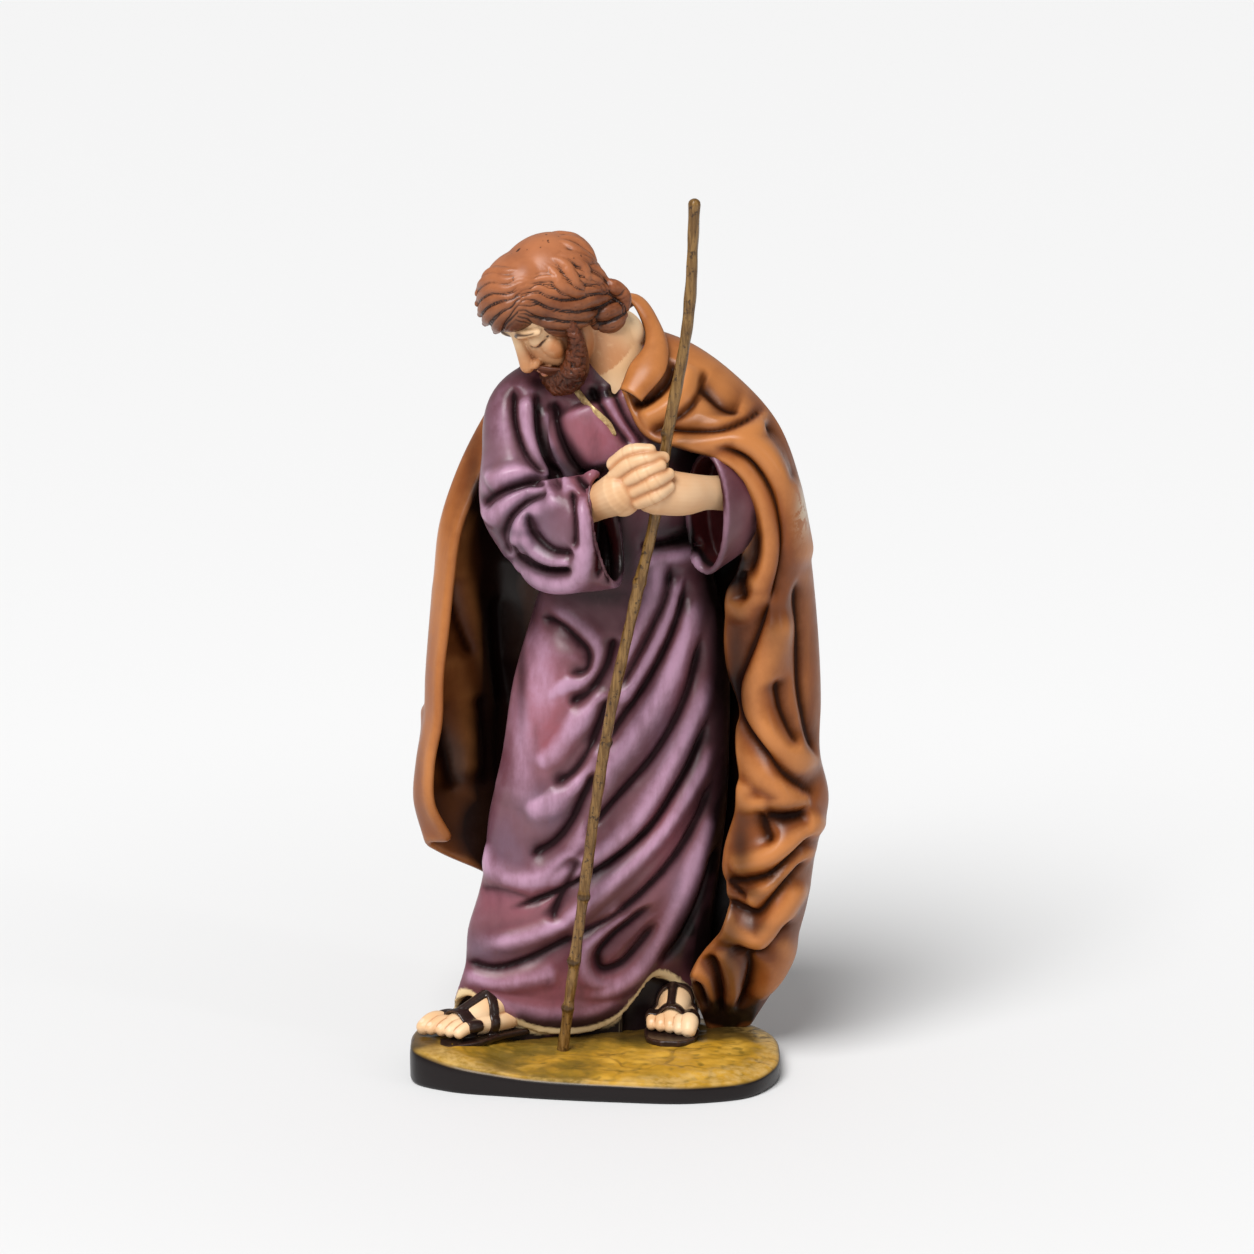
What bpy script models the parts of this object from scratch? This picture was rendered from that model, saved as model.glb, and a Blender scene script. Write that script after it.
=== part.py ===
"""A painted cast statue of a bearded man in a tunic and cloak, leaning over a thin staff.

The figure and its ground are one casting. The staff is a rod of its own: it stands in a socket in
the ground and runs up through the clasped hands. +Z is up and the figure faces -Y. The origin is on
the underside of the ground, below the middle of the figure.
"""

import math

import bpy
import numpy as np
from mathutils import Matrix

# Driving sizes, in metres
FIGURE_HEIGHT = 0.428  # from the underside of the ground to the crown
BASE_LENGTH = 0.188  # the ground, along X
BASE_DEPTH = 0.118  # the ground, along Y
BASE_FORWARD = 0.003  # how far the ground's middle lies in front of the origin
BASE_THICKNESS = 0.012  # the ground round the feet
BASE_ROUNDING = 0.002  # of its upper and lower edges
CLOAK_THICKNESS = 0.0050
FLUTE_DEPTH = 0.0042  # of the folds that hang down the cloak's back
STAFF_DIAMETER = 0.0056
STAFF_LENGTH = 0.450
STAFF_CLEARANCE = 0.0004  # all round the staff, in the hands and in the socket
SOCKET_DEPTH = 0.007  # in the ground
SLEEVE_WALL = 3  # of the open sleeves' rims, in the units below
SLEEVE_MOUTH = 12  # how far the sleeves are hollowed, in those units
CUFF_LEAN = 0.2  # how far the right cuff's mouth leans back for each unit of its height
CARVING_STEP = 0.0016  # grid on which the forms of one colour are fused, before their folds are carved
FUSING_STEP = 0.0013  # grid on which they all become one casting
FIGURE_TRIANGLES = 8900

# The figure is drawn in units, with its crown at 428 and the ground round its feet at 12
DRAWN_HEIGHT = 428
DRAWN_GROUND = 12
UNIT = (FIGURE_HEIGHT - BASE_THICKNESS) / (DRAWN_HEIGHT - DRAWN_GROUND)
STANDS_AT = BASE_THICKNESS - DRAWN_GROUND * UNIT

# How strongly a cloth's folds are carved, and the last y that they reach
TUNIC_CARVING = (1.15, 30)
CLOAK_CARVING = (1.4, 26)
LINING_CARVING = (1.0, 60)

# Folds of the drapery, each a line (x, height) across the front with its half width and how far it
# stands out, or cuts in where that is negative
SKIRT_FOLDS = {
    "thigh": (13, 2.0, [(-18, 226), (-25, 206), (-33, 178), (-39, 152), (-42, 136)]),
    "hip pocket": (6, -3.2, [(-28, 233), (-18, 231), (-9, 224), (-3, 217), (-4, 209), (-14, 206)]),
    "hip roll": (6, 2.2, [(-24, 238), (-12, 232), (-4, 226), (1, 216), (-3, 207), (-15, 201), (-28, 190)]),
    "knee valley 1": (7.5, -3.4, [(10, 226), (7, 214), (2, 204), (-4, 196), (-14, 191)]),
    "knee valley 2": (7.5, -3.8, [(7, 196), (2, 180), (-4, 166), (-11, 156), (-22, 149)]),
    "knee valley 3": (7.5, -3.6, [(1, 158), (-6, 144), (-12, 130), (-20, 120), (-34, 112)]),
    "knee valley 4": (8, -3.2, [(-8, 112), (-14, 98), (-20, 84), (-25, 66), (-29, 48)]),
    "knee roll 1": (6.5, 2.4, [(4, 200), (-4, 188), (-12, 178), (-22, 166), (-32, 158)]),
    "knee roll 2": (6.5, 2.6, [(2, 172), (-4, 160), (-12, 149), (-24, 140), (-36, 134)]),
    "knee roll 3": (6.5, 2.2, [(-2, 132), (-10, 118), (-22, 106), (-38, 99), (-54, 104)]),
    "long roll 1": (6, 2.2, [(33, 270), (31, 252), (26, 238), (18, 222), (11, 208)]),
    "long crease 1": (5, -3.2, [(38, 262), (36, 246), (29, 230), (21, 214), (12, 198)]),
    "long roll 2": (6, 2.6, [(41, 256), (38, 242), (31, 226), (22, 210), (11, 190)]),
    "long crease 2": (5, -3.6, [(46, 254), (42, 236), (34, 216), (25, 200), (14, 184), (4, 168)]),
    "long roll 3": (7, 3.2, [(50, 246), (46, 228), (40, 211), (31, 193), (20, 176), (6, 158), (-2, 146)]),
    "long crease 3": (5.5, -3.6, [(54, 226), (49, 202), (41, 182), (29, 163), (14, 146), (2, 132), (-8, 122)]),
    "long roll 4": (6.5, 3.2, [
        (56, 206), (51, 186), (43, 168), (31, 146), (18, 128), (4, 115), (-12, 105), (-30, 100),
    ]),
    "long crease 4": (5, -3.6, [
        (58, 184), (50, 162), (40, 144), (28, 126), (12, 112), (-4, 102), (-22, 92), (-44, 84),
    ]),
    "long roll 5": (5.5, 3.0, [
        (59, 171), (52, 153), (43, 138), (31, 121), (15, 104), (0, 91), (-16, 78), (-38, 69), (-62, 64),
    ]),
    "long crease 5": (5.5, -3.4, [(61, 150), (53, 130), (43, 112), (30, 96), (14, 82), (0, 74), (-14, 66)]),
    "long roll 6": (6, 3.0, [
        (60, 136), (55, 116), (49, 98), (41, 80), (32, 62), (24, 49), (10, 39), (-8, 36),
    ]),
    "long crease 6": (5.5, -3.2, [(63, 112), (58, 92), (51, 74), (42, 58), (33, 47)]),
    "loop crease": (6, -3.0, [(30, 84), (20, 76), (8, 67), (1, 57), (3, 50), (12, 51), (22, 60), (32, 74)]),
    "loop roll": (5.5, 2.4, [(16, 84), (4, 74), (-4, 62), (-5, 50), (2, 42), (14, 42)]),
    "calf crease 1": (5.5, -2.6, [(-60, 92), (-50, 94), (-38, 92), (-26, 84)]),
    "calf crease 2": (6, -3.2, [(-68, 54), (-52, 51), (-36, 56), (-20, 64), (-8, 70)]),
    "calf roll 2": (6, 2.4, [(-68, 48), (-50, 44), (-32, 47), (-18, 50)]),
    "calf bump": (6.5, 2.2, [(-60, 114), (-55, 106), (-46, 101)]),
    "hem roll": (6, 2.0, [(-60, 39), (-42, 30), (-22, 26), (-2, 27), (14, 35)]),
}
TORSO_FOLDS = {
    "shoulder crease 1": (4, -3.0, [(-40, 351), (-39, 335), (-34, 320), (-24, 307)]),
    "shoulder roll 1": (4.5, 2.4, [(-33, 347), (-32, 328), (-27, 314), (-22, 306)]),
    "shoulder crease 2": (3.8, -3.0, [(-28, 349), (-26, 325), (-22, 313), (-15, 304)]),
    "shoulder roll 2": (4, 2.0, [(-24, 341), (-22, 323), (-17, 312), (-8, 303)]),
    "chest crease": (5, -3.0, [(-20, 345), (-17, 327), (-10, 313), (1, 303)]),
    "chest fullness": (17, 4.0, [(-6, 343), (1, 325), (6, 311)]),
    "placket crease 1": (3.2, -2.2, [(-3, 352), (6, 338), (18, 322)]),
    "placket crease 2": (3, -2.0, [(8, 352), (14, 338), (25, 322)]),
    "placket roll": (3, 1.8, [(3, 351), (10, 338), (22, 322)]),
    "waist crease": (4, -3.0, [(22, 270), (38, 272), (54, 275)]),
    "waist roll": (5, 2.0, [(22, 264), (38, 266), (54, 268)]),
}
SLEEVE_FOLDS = {
    "elbow roll 1": (4, 2.6, [(-21, 308), (-34, 310), (-45, 308), (-53, 303)]),
    "elbow crease 1": (4, -3.0, [(-23, 306), (-37, 304), (-49, 299), (-55, 292)]),
    "elbow roll 2": (4.5, 2.6, [(-22, 304), (-36, 300), (-46, 293), (-54, 285)]),
    "elbow crease 2": (4.5, -3.2, [(-21, 303), (-32, 298), (-41, 290), (-44, 279), (-40, 269)]),
    "elbow roll 3": (4.5, 2.4, [(-17, 303), (-27, 298), (-36, 289), (-39, 277), (-35, 268)]),
    "sag crease 1": (4, -2.8, [(-33, 294), (-30, 283), (-21, 275), (-9, 274)]),
    "sag roll 1": (4, 2.4, [(-36, 289), (-32, 277), (-22, 270), (-10, 270)]),
    "sag crease 2": (4.5, -3.2, [(-41, 278), (-35, 268), (-23, 264), (-10, 266)]),
    "sag roll 2": (5, 2.6, [(-41, 269), (-32, 260), (-22, 257), (-9, 261), (-5, 272), (-5, 290), (-8, 304)]),
    "cuff crease 1": (3.2, -2.8, [(-11, 306), (-9, 290), (-9, 277)]),
    "cuff crease 2": (3.4, -3.0, [(-2, 311), (1, 290), (2, 260)]),
    "cuff crease 3": (2.6, -2.0, [(3, 286), (6, 271), (7, 257)]),
}
CLOAK_FOLDS = {
    "shoulder dimple": (6, -3.0, [(52, 353), (62, 345), (73, 341)]),
    "shoulder crease 1": (4.5, -4.0, [(32, 333), (47, 332), (61, 333), (74, 337), (87, 341)]),
    "shoulder roll 1": (5, 3.0, [(34, 327), (52, 328), (69, 332), (88, 337)]),
    "shoulder crease 2": (5, -3.2, [(82, 336), (91, 329), (97, 316), (100, 304)]),
    "arm roll 1": (6, 3.4, [(61, 329), (73, 325), (86, 314), (95, 298), (102, 280), (107, 260)]),
    "arm crease 1": (5, -4.2, [(59, 325), (74, 319), (85, 304), (91, 286), (93, 270), (86, 243)]),
    "arm roll 2": (5, 3.4, [(57, 323), (71, 315), (82, 299), (86, 281), (84, 262), (78, 245)]),
    "arm crease 2": (5, -3.0, [(63, 314), (72, 302), (78, 286), (79, 269), (75, 256)]),
    "arm roll 3": (4.5, 3.0, [(60, 319), (67, 309), (72, 293), (75, 276), (72, 264)]),
    "pouch": (5, -3.0, [(73, 261), (72, 252), (74, 245)]),
    "pouch lip": (4, 2.6, [(67, 256), (68, 245), (73, 239), (79, 245), (80, 254)]),
    "s crease": (
        6, -5.0, [
            (88, 250), (80, 231), (74, 214), (70, 199), (72, 185), (81, 172), (93, 160), (105, 150),
            (113, 143),
        ],
    ),
    "s roll": (7, 4.0, [(93, 243), (85, 220), (77, 202), (78, 188), (87, 175), (98, 164), (112, 153)]),
    "s dimple": (7, -3.0, [(90, 207), (94, 190), (102, 171)]),
    "side crease": (4.5, -3.2, [(101, 257), (103, 226), (104, 200), (108, 179), (112, 160)]),
    "elbow swag": (7, 3.4, [(70, 186), (76, 168), (84, 159), (95, 152), (108, 146)]),
    "pocket": (8, -4.5, [(82, 138), (94, 139), (106, 139)]),
    "pocket side": (6, -3.0, [(81, 139), (81, 129), (87, 122)]),
    "pocket lip": (5.5, 3.4, [(72, 104), (80, 113), (92, 117), (104, 127), (114, 135)]),
    "lower crease 1": (5, -4.2, [(67, 98), (78, 104), (92, 107), (107, 121)]),
    "lower roll 1": (5, 3.0, [(65, 101), (68, 90), (81, 88), (91, 96), (103, 112)]),
    "lower crease 2": (5, -3.8, [(68, 81), (79, 78), (91, 85), (101, 102)]),
    "lower roll 2": (5, 3.0, [(64, 79), (72, 70), (85, 69), (95, 80), (102, 95)]),
    "hem roll 1": (5, 3.0, [(87, 69), (95, 59), (92, 44), (84, 32)]),
    "hem crease 1": (4.5, -3.0, [(82, 63), (86, 50), (81, 36)]),
    "hem crease 2": (4, -2.8, [(73, 60), (72, 42), (71, 26)]),
    "hem roll 2": (4, 2.6, [(67, 63), (64, 45), (66, 28)]),
    "hem crease 3": (3.5, -2.4, [(61, 62), (56, 48), (61, 33)]),
}
LINING_FOLDS = {
    "rim roll": (
        5, 2.4, [(-59, 312), (-69, 282), (-75, 261), (-69, 236), (-63, 213), (-58, 190), (-56, 166)]
    ),
    "rim crease": (5, -2.6, [(-79, 251), (-76, 230), (-68, 205)]),
    "wall roll 1": (6, 2.8, [(-82, 213), (-76, 193), (-70, 166), (-68, 141)]),
    "wall crease 1": (6, -3.0, [(-87, 187), (-81, 161), (-76, 135)]),
    "wall crease 2": (6, -3.0, [(-65, 186), (-62, 160), (-61, 134)]),
    "wall crease 3": (6, -3.0, [(-52, 237), (-50, 206), (-49, 175)]),
    "wall roll 2": (5, 2.4, [(-46, 258), (-44, 227), (-46, 196)]),
}


def smooth(keys, values, at):
    """A smooth curve through values at keys, read at each place in at."""
    keys, values, at = (np.asarray(a, float) for a in (keys, values, at))
    slopes = np.gradient(values, keys, axis=0)
    i = np.clip(np.searchsorted(keys, at, side="right") - 1, 0, len(keys) - 2)
    gap = keys[i + 1] - keys[i]
    t = np.clip((at - keys[i]) / gap, 0, 1)
    if values.ndim > 1:
        t, gap = t[:, None], gap[:, None]
    rise = values[i + 1] - values[i]
    return (
        values[i]
        + rise * (3 * t**2 - 2 * t**3)
        + slopes[i] * gap * (t**3 - 2 * t**2 + t)
        + slopes[i + 1] * gap * (t**3 - t**2)
    )


def along(points, count, closed=False):
    """count points spaced evenly along a smooth curve through a few points."""
    points = np.asarray(points, float)
    if closed:
        points = np.concatenate([points[-2:], points, points[:3]])
    steps = np.linalg.norm(np.diff(points, axis=0), axis=1)
    length = np.concatenate([[0], np.cumsum(steps)])
    start, end = (length[2], length[-3]) if closed else (0, length[-1])
    return smooth(length, points, np.linspace(start, end, count, endpoint=not closed))


def grid_faces(rows, columns, closed):
    """Quads over a grid of points, rows by columns."""
    spans = columns if closed else columns - 1
    r, c = np.meshgrid(np.arange(rows - 1), np.arange(spans), indexing="ij")
    right = (c + 1) % columns
    below, above = r * columns, (r + 1) * columns
    quads = np.stack([below + c, below + right, above + right, above + c], -1)
    return quads.reshape(-1, 4).tolist()


def outward(points, faces):
    """Turns the faces of a closed form round where they look inwards."""
    corners = np.array([(face[0], face[i], face[i + 1]) for face in faces for i in range(1, len(face) - 1)])
    a, b, c = (points[corners[:, i]] for i in range(3))
    volume = (a * np.cross(b, c)).sum()
    return points, faces if volume > 0 else [face[::-1] for face in faces]


def loft(rings):
    """A closed form through rings of points, rows by columns, with a fan over each end."""
    rows, columns, _ = rings.shape
    points = np.concatenate([rings.reshape(-1, 3), [rings[0].mean(0)], [rings[-1].mean(0)]])
    faces = grid_faces(rows, columns, True)
    first, last = rows * columns, rows * columns + 1
    end = (rows - 1) * columns
    for c in range(columns):
        n = (c + 1) % columns
        faces.append([first, n, c])
        faces.append([last, end + c, end + n])
    return outward(points, faces)


def sheet_normals(surface):
    """Which way each point of a sheet, rows by columns, faces."""
    normal = np.cross(np.gradient(surface, axis=0), np.gradient(surface, axis=1))
    return normal / (np.linalg.norm(normal, axis=2, keepdims=True) + 1e-12)


def shell(surface, thickness):
    """A closed form: an open sheet of points, rows by columns, given a thickness behind it."""
    rows, columns, _ = surface.shape
    inner = surface - sheet_normals(surface) * thickness
    count = rows * columns
    points = np.concatenate([surface.reshape(-1, 3), inner.reshape(-1, 3)])
    outer_faces = grid_faces(rows, columns, False)
    faces = outer_faces + [[i + count for i in reversed(q)] for q in outer_faces]
    rim = [c for c in range(columns)]
    rim += [r * columns + columns - 1 for r in range(1, rows)]
    rim += [(rows - 1) * columns + c for c in range(columns - 2, -1, -1)]
    rim += [r * columns for r in range(rows - 2, 0, -1)]
    for a, b in zip(rim, rim[1:] + rim[:1]):
        faces.append([b, a, a + count, b + count])
    return points, faces


def tube(points, radii, count=24, sides=16, flat=1.0, up=(0, 0, 1)):
    """A closed round-ended form along a smooth curve. flat is its width over its height."""
    path = along(points, count)
    keys = np.linspace(0, 1, len(radii))
    radius = smooth(keys, radii, np.linspace(0, 1, count))
    tangent = np.gradient(path, axis=0)
    tangent /= np.linalg.norm(tangent, axis=1, keepdims=True)
    side = np.cross(tangent, np.array(up, float))
    side /= np.linalg.norm(side, axis=1, keepdims=True) + 1e-9
    top = np.cross(side, tangent)
    turn = np.linspace(0, 2 * math.pi, sides, endpoint=False)
    ring = np.cos(turn)[:, None], np.sin(turn)[:, None]
    rings = []
    swell = (0.35, 0.68, 0.9)
    reach = (0.94, 0.73, 0.44)
    first = flat * side[0] * ring[0] + top[0] * ring[1]
    last = flat * side[-1] * ring[0] + top[-1] * ring[1]
    for share, out in zip(swell, reach):
        rings.append(path[0] - tangent[0] * radius[0] * out + radius[0] * share * first)
    for p, s, t, r in zip(path, side, top, radius):
        rings.append(p + r * (flat * s * ring[0] + t * ring[1]))
    for share, out in zip(reversed(swell), reversed(reach)):
        rings.append(path[-1] + tangent[-1] * radius[-1] * out + radius[-1] * share * last)
    return loft(np.array(rings))


def ball(centre, radii, turn=None, rows=16, columns=24):
    """An ellipsoid, turned by a matrix where one is given."""
    polar = np.linspace(0.08, math.pi - 0.08, rows)[:, None]
    about = np.linspace(0, 2 * math.pi, columns, endpoint=False)[None, :]
    x, y = np.sin(polar) * np.cos(about), np.sin(polar) * np.sin(about)
    rings = np.stack([x, y, np.cos(polar) + 0 * about], -1)
    rings = rings * np.array(radii)
    if turn is not None:
        rings = rings @ np.array(turn.to_3x3()).T
    return loft(rings + np.array(centre))


def joined(forms):
    """Several forms as one list of points and faces."""
    points, faces, start = [], [], 0
    for p, f in forms:
        points.append(p)
        faces += [[i + start for i in face] for face in f]
        start += len(p)
    return np.concatenate(points), faces


def turned(yaw, pitch, roll):
    """The turn of a head that looks to its own right by yaw and down by pitch, in degrees."""
    look = Matrix.Rotation(math.radians(180 - yaw), 3, "Z")
    bow = Matrix.Rotation(math.radians(-pitch), 3, "X")
    tilt = Matrix.Rotation(math.radians(roll), 3, "Y")
    return look @ bow @ tilt


HEAD_CENTRE = np.array((-21.5, -8.0, 388.0))
HEAD_TURN = turned(60, 45, 0)
HEAD_SIZE = 0.95


def on_head(form):
    """A form drawn on an upright head (x its right, y its front, z up) put where the bowed head is."""
    points, faces = form
    return points * HEAD_SIZE @ np.array(HEAD_TURN).T + HEAD_CENTRE, faces


# The hem's height across the front, which arches over the left foot
HEM = [
    (-75, 30), (-67, 35), (-55, 28), (-41, 20), (-27, 15), (-13, 13.5), (1, 15), (12, 20), (20.5, 29),
    (29, 39.5), (37, 39.5), (46, 31), (57, 19), (70, 14),
]


def hem_height(x, front):
    """The hem's height at x, and on the front (1) or the back (0) of the skirt."""
    keys = np.array(HEM, float)
    low = smooth(keys[:, 0], keys[:, 1], np.clip(x, -75, 70).ravel()).reshape(x.shape)
    return 15 + (low - 15) * front


def body():
    """The tunic from the ground to the neck."""
    # height, left, right, front, back, how far the right side stands further back
    sections = np.array(
        [
            (4, -74, 55, 12, 50, 0.22),
            (18, -69, 57, 9, 50, 0.22),
            (60, -65, 60, 1, 50, 0.20),
            (100, -57, 64, -4, 50, 0.16),
            (130, -54, 67, -7, 50, 0.12),
            (160, -47, 68, -8, 51, 0.10),
            (200, -41, 68, -8, 51, 0.05),
            (235, -31, 64, -7, 51, 0.0),
            (262, -24, 58, -6, 50, 0.0),
            (285, -28, 58, -10, 50, 0.0),
            (310, -36, 62, -14, 48, 0.0),
            (335, -41, 64, -13, 44, 0.0),
            (350, -38, 60, -8, 40, 0.0),
            (362, -20, 42, -4, 34, 0.0),
            (371, -6, 26, -2, 28, 0.0),
        ],
        float,
    )
    height = np.linspace(4, 371, 110)
    left, right, front, back, skew = smooth(sections[:, 0], sections[:, 1:], height).T
    turn = np.linspace(0, 2 * math.pi, 120, endpoint=False)
    wide = np.sign(np.cos(turn)) * np.abs(np.cos(turn)) ** 0.9
    deep = np.sign(np.sin(turn)) * np.abs(np.sin(turn)) ** 0.9
    x = ((left + right) / 2)[:, None] + ((right - left) / 2)[:, None] * wide
    y = ((front + back) / 2)[:, None] + ((back - front) / 2)[:, None] * deep
    y = y + (skew * (right - left) / 2)[:, None] * wide
    hem = hem_height(x, eased(-0.3, 0.3, -deep))
    z = height[:, None] + (hem - 4) * (1 - eased(4, 110, height))[:, None]
    skirt = np.stack([x, y, z], -1)
    lowest = skirt[0]
    middle = lowest.mean(0)
    inward = middle - lowest
    inward[:, 2] = 0
    inward /= np.linalg.norm(inward, axis=1, keepdims=True)
    deeper = 5 + 9 * eased(24, 40, lowest[:, 2:])
    lip = lowest + inward * 2.5
    core_top = lowest + inward * deeper + (0, 0, 3)
    core_low = core_top.copy()
    core_low[:, 2] = 4
    return loft(np.concatenate([[core_low, core_top, lip], skirt]))


def sleeve(points, heights, flat, wall, mouth, lean=0.0):
    """An open sleeve: a hanging oval along a curve, hollowed at its far end."""
    count, sides = 30, 40
    path = along(points, count)
    tall = smooth(np.linspace(0, 1, len(heights)), heights, np.linspace(0, 1, count))
    tangent = np.gradient(path, axis=0)
    tangent /= np.linalg.norm(tangent, axis=1, keepdims=True)
    side = np.cross(tangent, (0.0, 0.0, 1.0))
    side /= np.linalg.norm(side, axis=1, keepdims=True)
    turn = np.linspace(0, 2 * math.pi, sides, endpoint=False)[:, None]
    upright = np.array((0, 0, 1.0)) * np.sin(turn)
    rings = [p + r * (flat * s * np.cos(turn) + upright) for p, s, r in zip(path, side, tall)]
    # The rim turns in over the wall's thickness, then runs back to the floor of the mouth
    across, high = flat * side[-1] * np.cos(turn), tall[-1]
    for inset, back in ((wall * 0.3, -wall * 0.3), (wall * 0.7, -wall * 0.3), (wall, 0), (wall * 1.1, mouth)):
        middle = path[-1] - tangent[-1] * back
        rings.append(middle + across * (high - inset / flat) + upright * (high - inset))
    rings = np.array(rings)
    # The mouth leans, so that its top lies further back along the arm
    share = eased(0, 1, np.minimum(np.arange(len(rings)) / (count - 1), 1.0))[:, None]
    rings[:, :, 0] -= lean * share * (rings[:, :, 2] - rings[:, :, 2].mean(1, keepdims=True))
    return loft(rings)


def right_sleeve():
    shoulder = [(-22, 14, 350), (-35, 6, 338), (-38, 0, 314), (-36, -8, 292), (-28, -16, 282)]
    forearm = [(-36, -4, 288), (-26, -18, 280), (-9, -30, 281), (6, -36, 284)]
    upper = tube(shoulder, [15, 18, 18, 20, 22], sides=28)
    return [upper, sleeve(forearm, [16, 26, 28.5, 28.5], 0.62, SLEEVE_WALL, SLEEVE_MOUTH, CUFF_LEAN)]


def left_sleeve():
    forearm = [(86, 14, 305), (76, -8, 298), (55, -27, 291)]
    return [sleeve(forearm, [20, 26, 31], 0.5, SLEEVE_WALL, SLEEVE_MOUTH)]


def hands():
    wrist = tube([(-2, -34, 296), (5, -40, 300), (12, -45, 304)], [8, 9, 11])
    palm = ball((14, -46, 305), (10, 8, 12.5))
    fingers = [
        [(10, -44, 318), (18, -50, 325), (27, -52, 326)],
        [(10, -47, 312), (18, -53, 319.5), (27, -54, 322), (33.5, -50, 322)],
        [(17, -51, 311), (23.5, -56, 315), (32, -55, 319)],
        [(20, -52, 306), (28.5, -57, 311), (36, -53, 314.5)],
        [(22, -51, 301), (30, -56, 305), (36, -53, 308.5)],
    ]
    left_arm = [(63, -24, 301), (54, -32, 302), (42, -42, 303), (30, -46, 305)]
    forearm = tube(left_arm, [9, 8.5, 10.5, 11.5], flat=0.85)
    return [wrist, palm, forearm] + [tube(f, [4.2, 4.2, 3.8], 16, 12) for f in fingers]


def head():
    skull = ball((0, -5, 10), (23, 29, 25))
    face = ball((0, 5, -9), (18, 20, 24))
    nose = tube([(0, 23, 6), (0, 27, -1), (0, 30.5, -9)], [2.5, 3.0, 4.2])
    wings = [ball((s * 3.6, 27, -10.5), (2.4, 3.4, 2.4)) for s in (-1, 1)]
    arches = [[(s * 3, 23.5, 7), (s * 9, 23.2, 8.5), (s * 16, 18, 6)] for s in (-1, 1)]
    brows = [tube(arch, [2.2, 2.6, 2.0], 14, 10) for arch in arches]
    cheeks = [ball((s * 12, 16.5, -6), (6.5, 6, 7)) for s in (-1, 1)]
    lips = tube([(-5, 24, -17.5), (0, 26.5, -17.5), (5, 24, -17.5)], [1.6, 2.2, 1.6], 12, 10)
    neck = tube([(12, 12, 356), (4, 4, 376), (-8, -2, 392)], [14, 13, 13])
    forms = [skull, face, nose, lips] + wings + brows + cheeks
    return [on_head(f) for f in forms] + [neck]


def beard():
    line = [
        (-21, 0, -2), (-19, 8, -17), (-11, 18, -28), (0, 22, -31), (11, 18, -28), (19, 8, -17), (21, 0, -2),
    ]
    jaw = tube(line, [4, 6, 8, 9, 8, 6, 4], 40, 18)
    moustache = [
        tube([(0, 28, -14), (s * 6, 25.5, -16), (s * 11, 20, -22)], [2.2, 3.0, 2.6], 14, 12) for s in (-1, 1)
    ]
    return [on_head(f) for f in [jaw] + moustache]


def hair_point(side, bearing, height, lift):
    """A point on the hair: degrees round from the front, degrees up, and a lift off the cap."""
    a, b = math.radians(bearing), math.radians(height)
    reach = np.array((25.5, 29.5, 26.0)) + lift
    away = (side * math.sin(a) * math.cos(b), math.cos(a) * math.cos(b), math.sin(b))
    return np.array((0, -7, 12)) + reach * away


def hair(locks=7):
    cap = ball((0, -8, 12), (25.5, 29, 26))
    forms = [cap, ball((0, -19, -6), (19, 15, 20)), ball((0, -17, -20), (14, 11, 12))]
    for side in (-1, 1):
        for i in range(locks):
            share = i / (locks - 1)
            start = (6 + 4 * share, 36 + 50 * share)
            middle = (52 + 30 * share, 16 + 44 * share)
            end = (112 + 30 * share, -26 + 34 * share)
            path = []
            for t in np.linspace(0, 1, 9):
                a = (1 - t) ** 2 * start[0] + 2 * t * (1 - t) * middle[0] + t**2 * end[0]
                b = (1 - t) ** 2 * start[1] + 2 * t * (1 - t) * middle[1] + t**2 * end[1]
                path.append(hair_point(side, a, b + 3.0 * math.sin(9 * t + i), 1.5))
            forms.append(tube(path, [2.0, 3.4, 3.6, 3.0], 26, 10))
        forms.append(ball(hair_point(side, 122, -24, 0), (7, 8, 7)))
    return [on_head(f) for f in forms]


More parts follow.
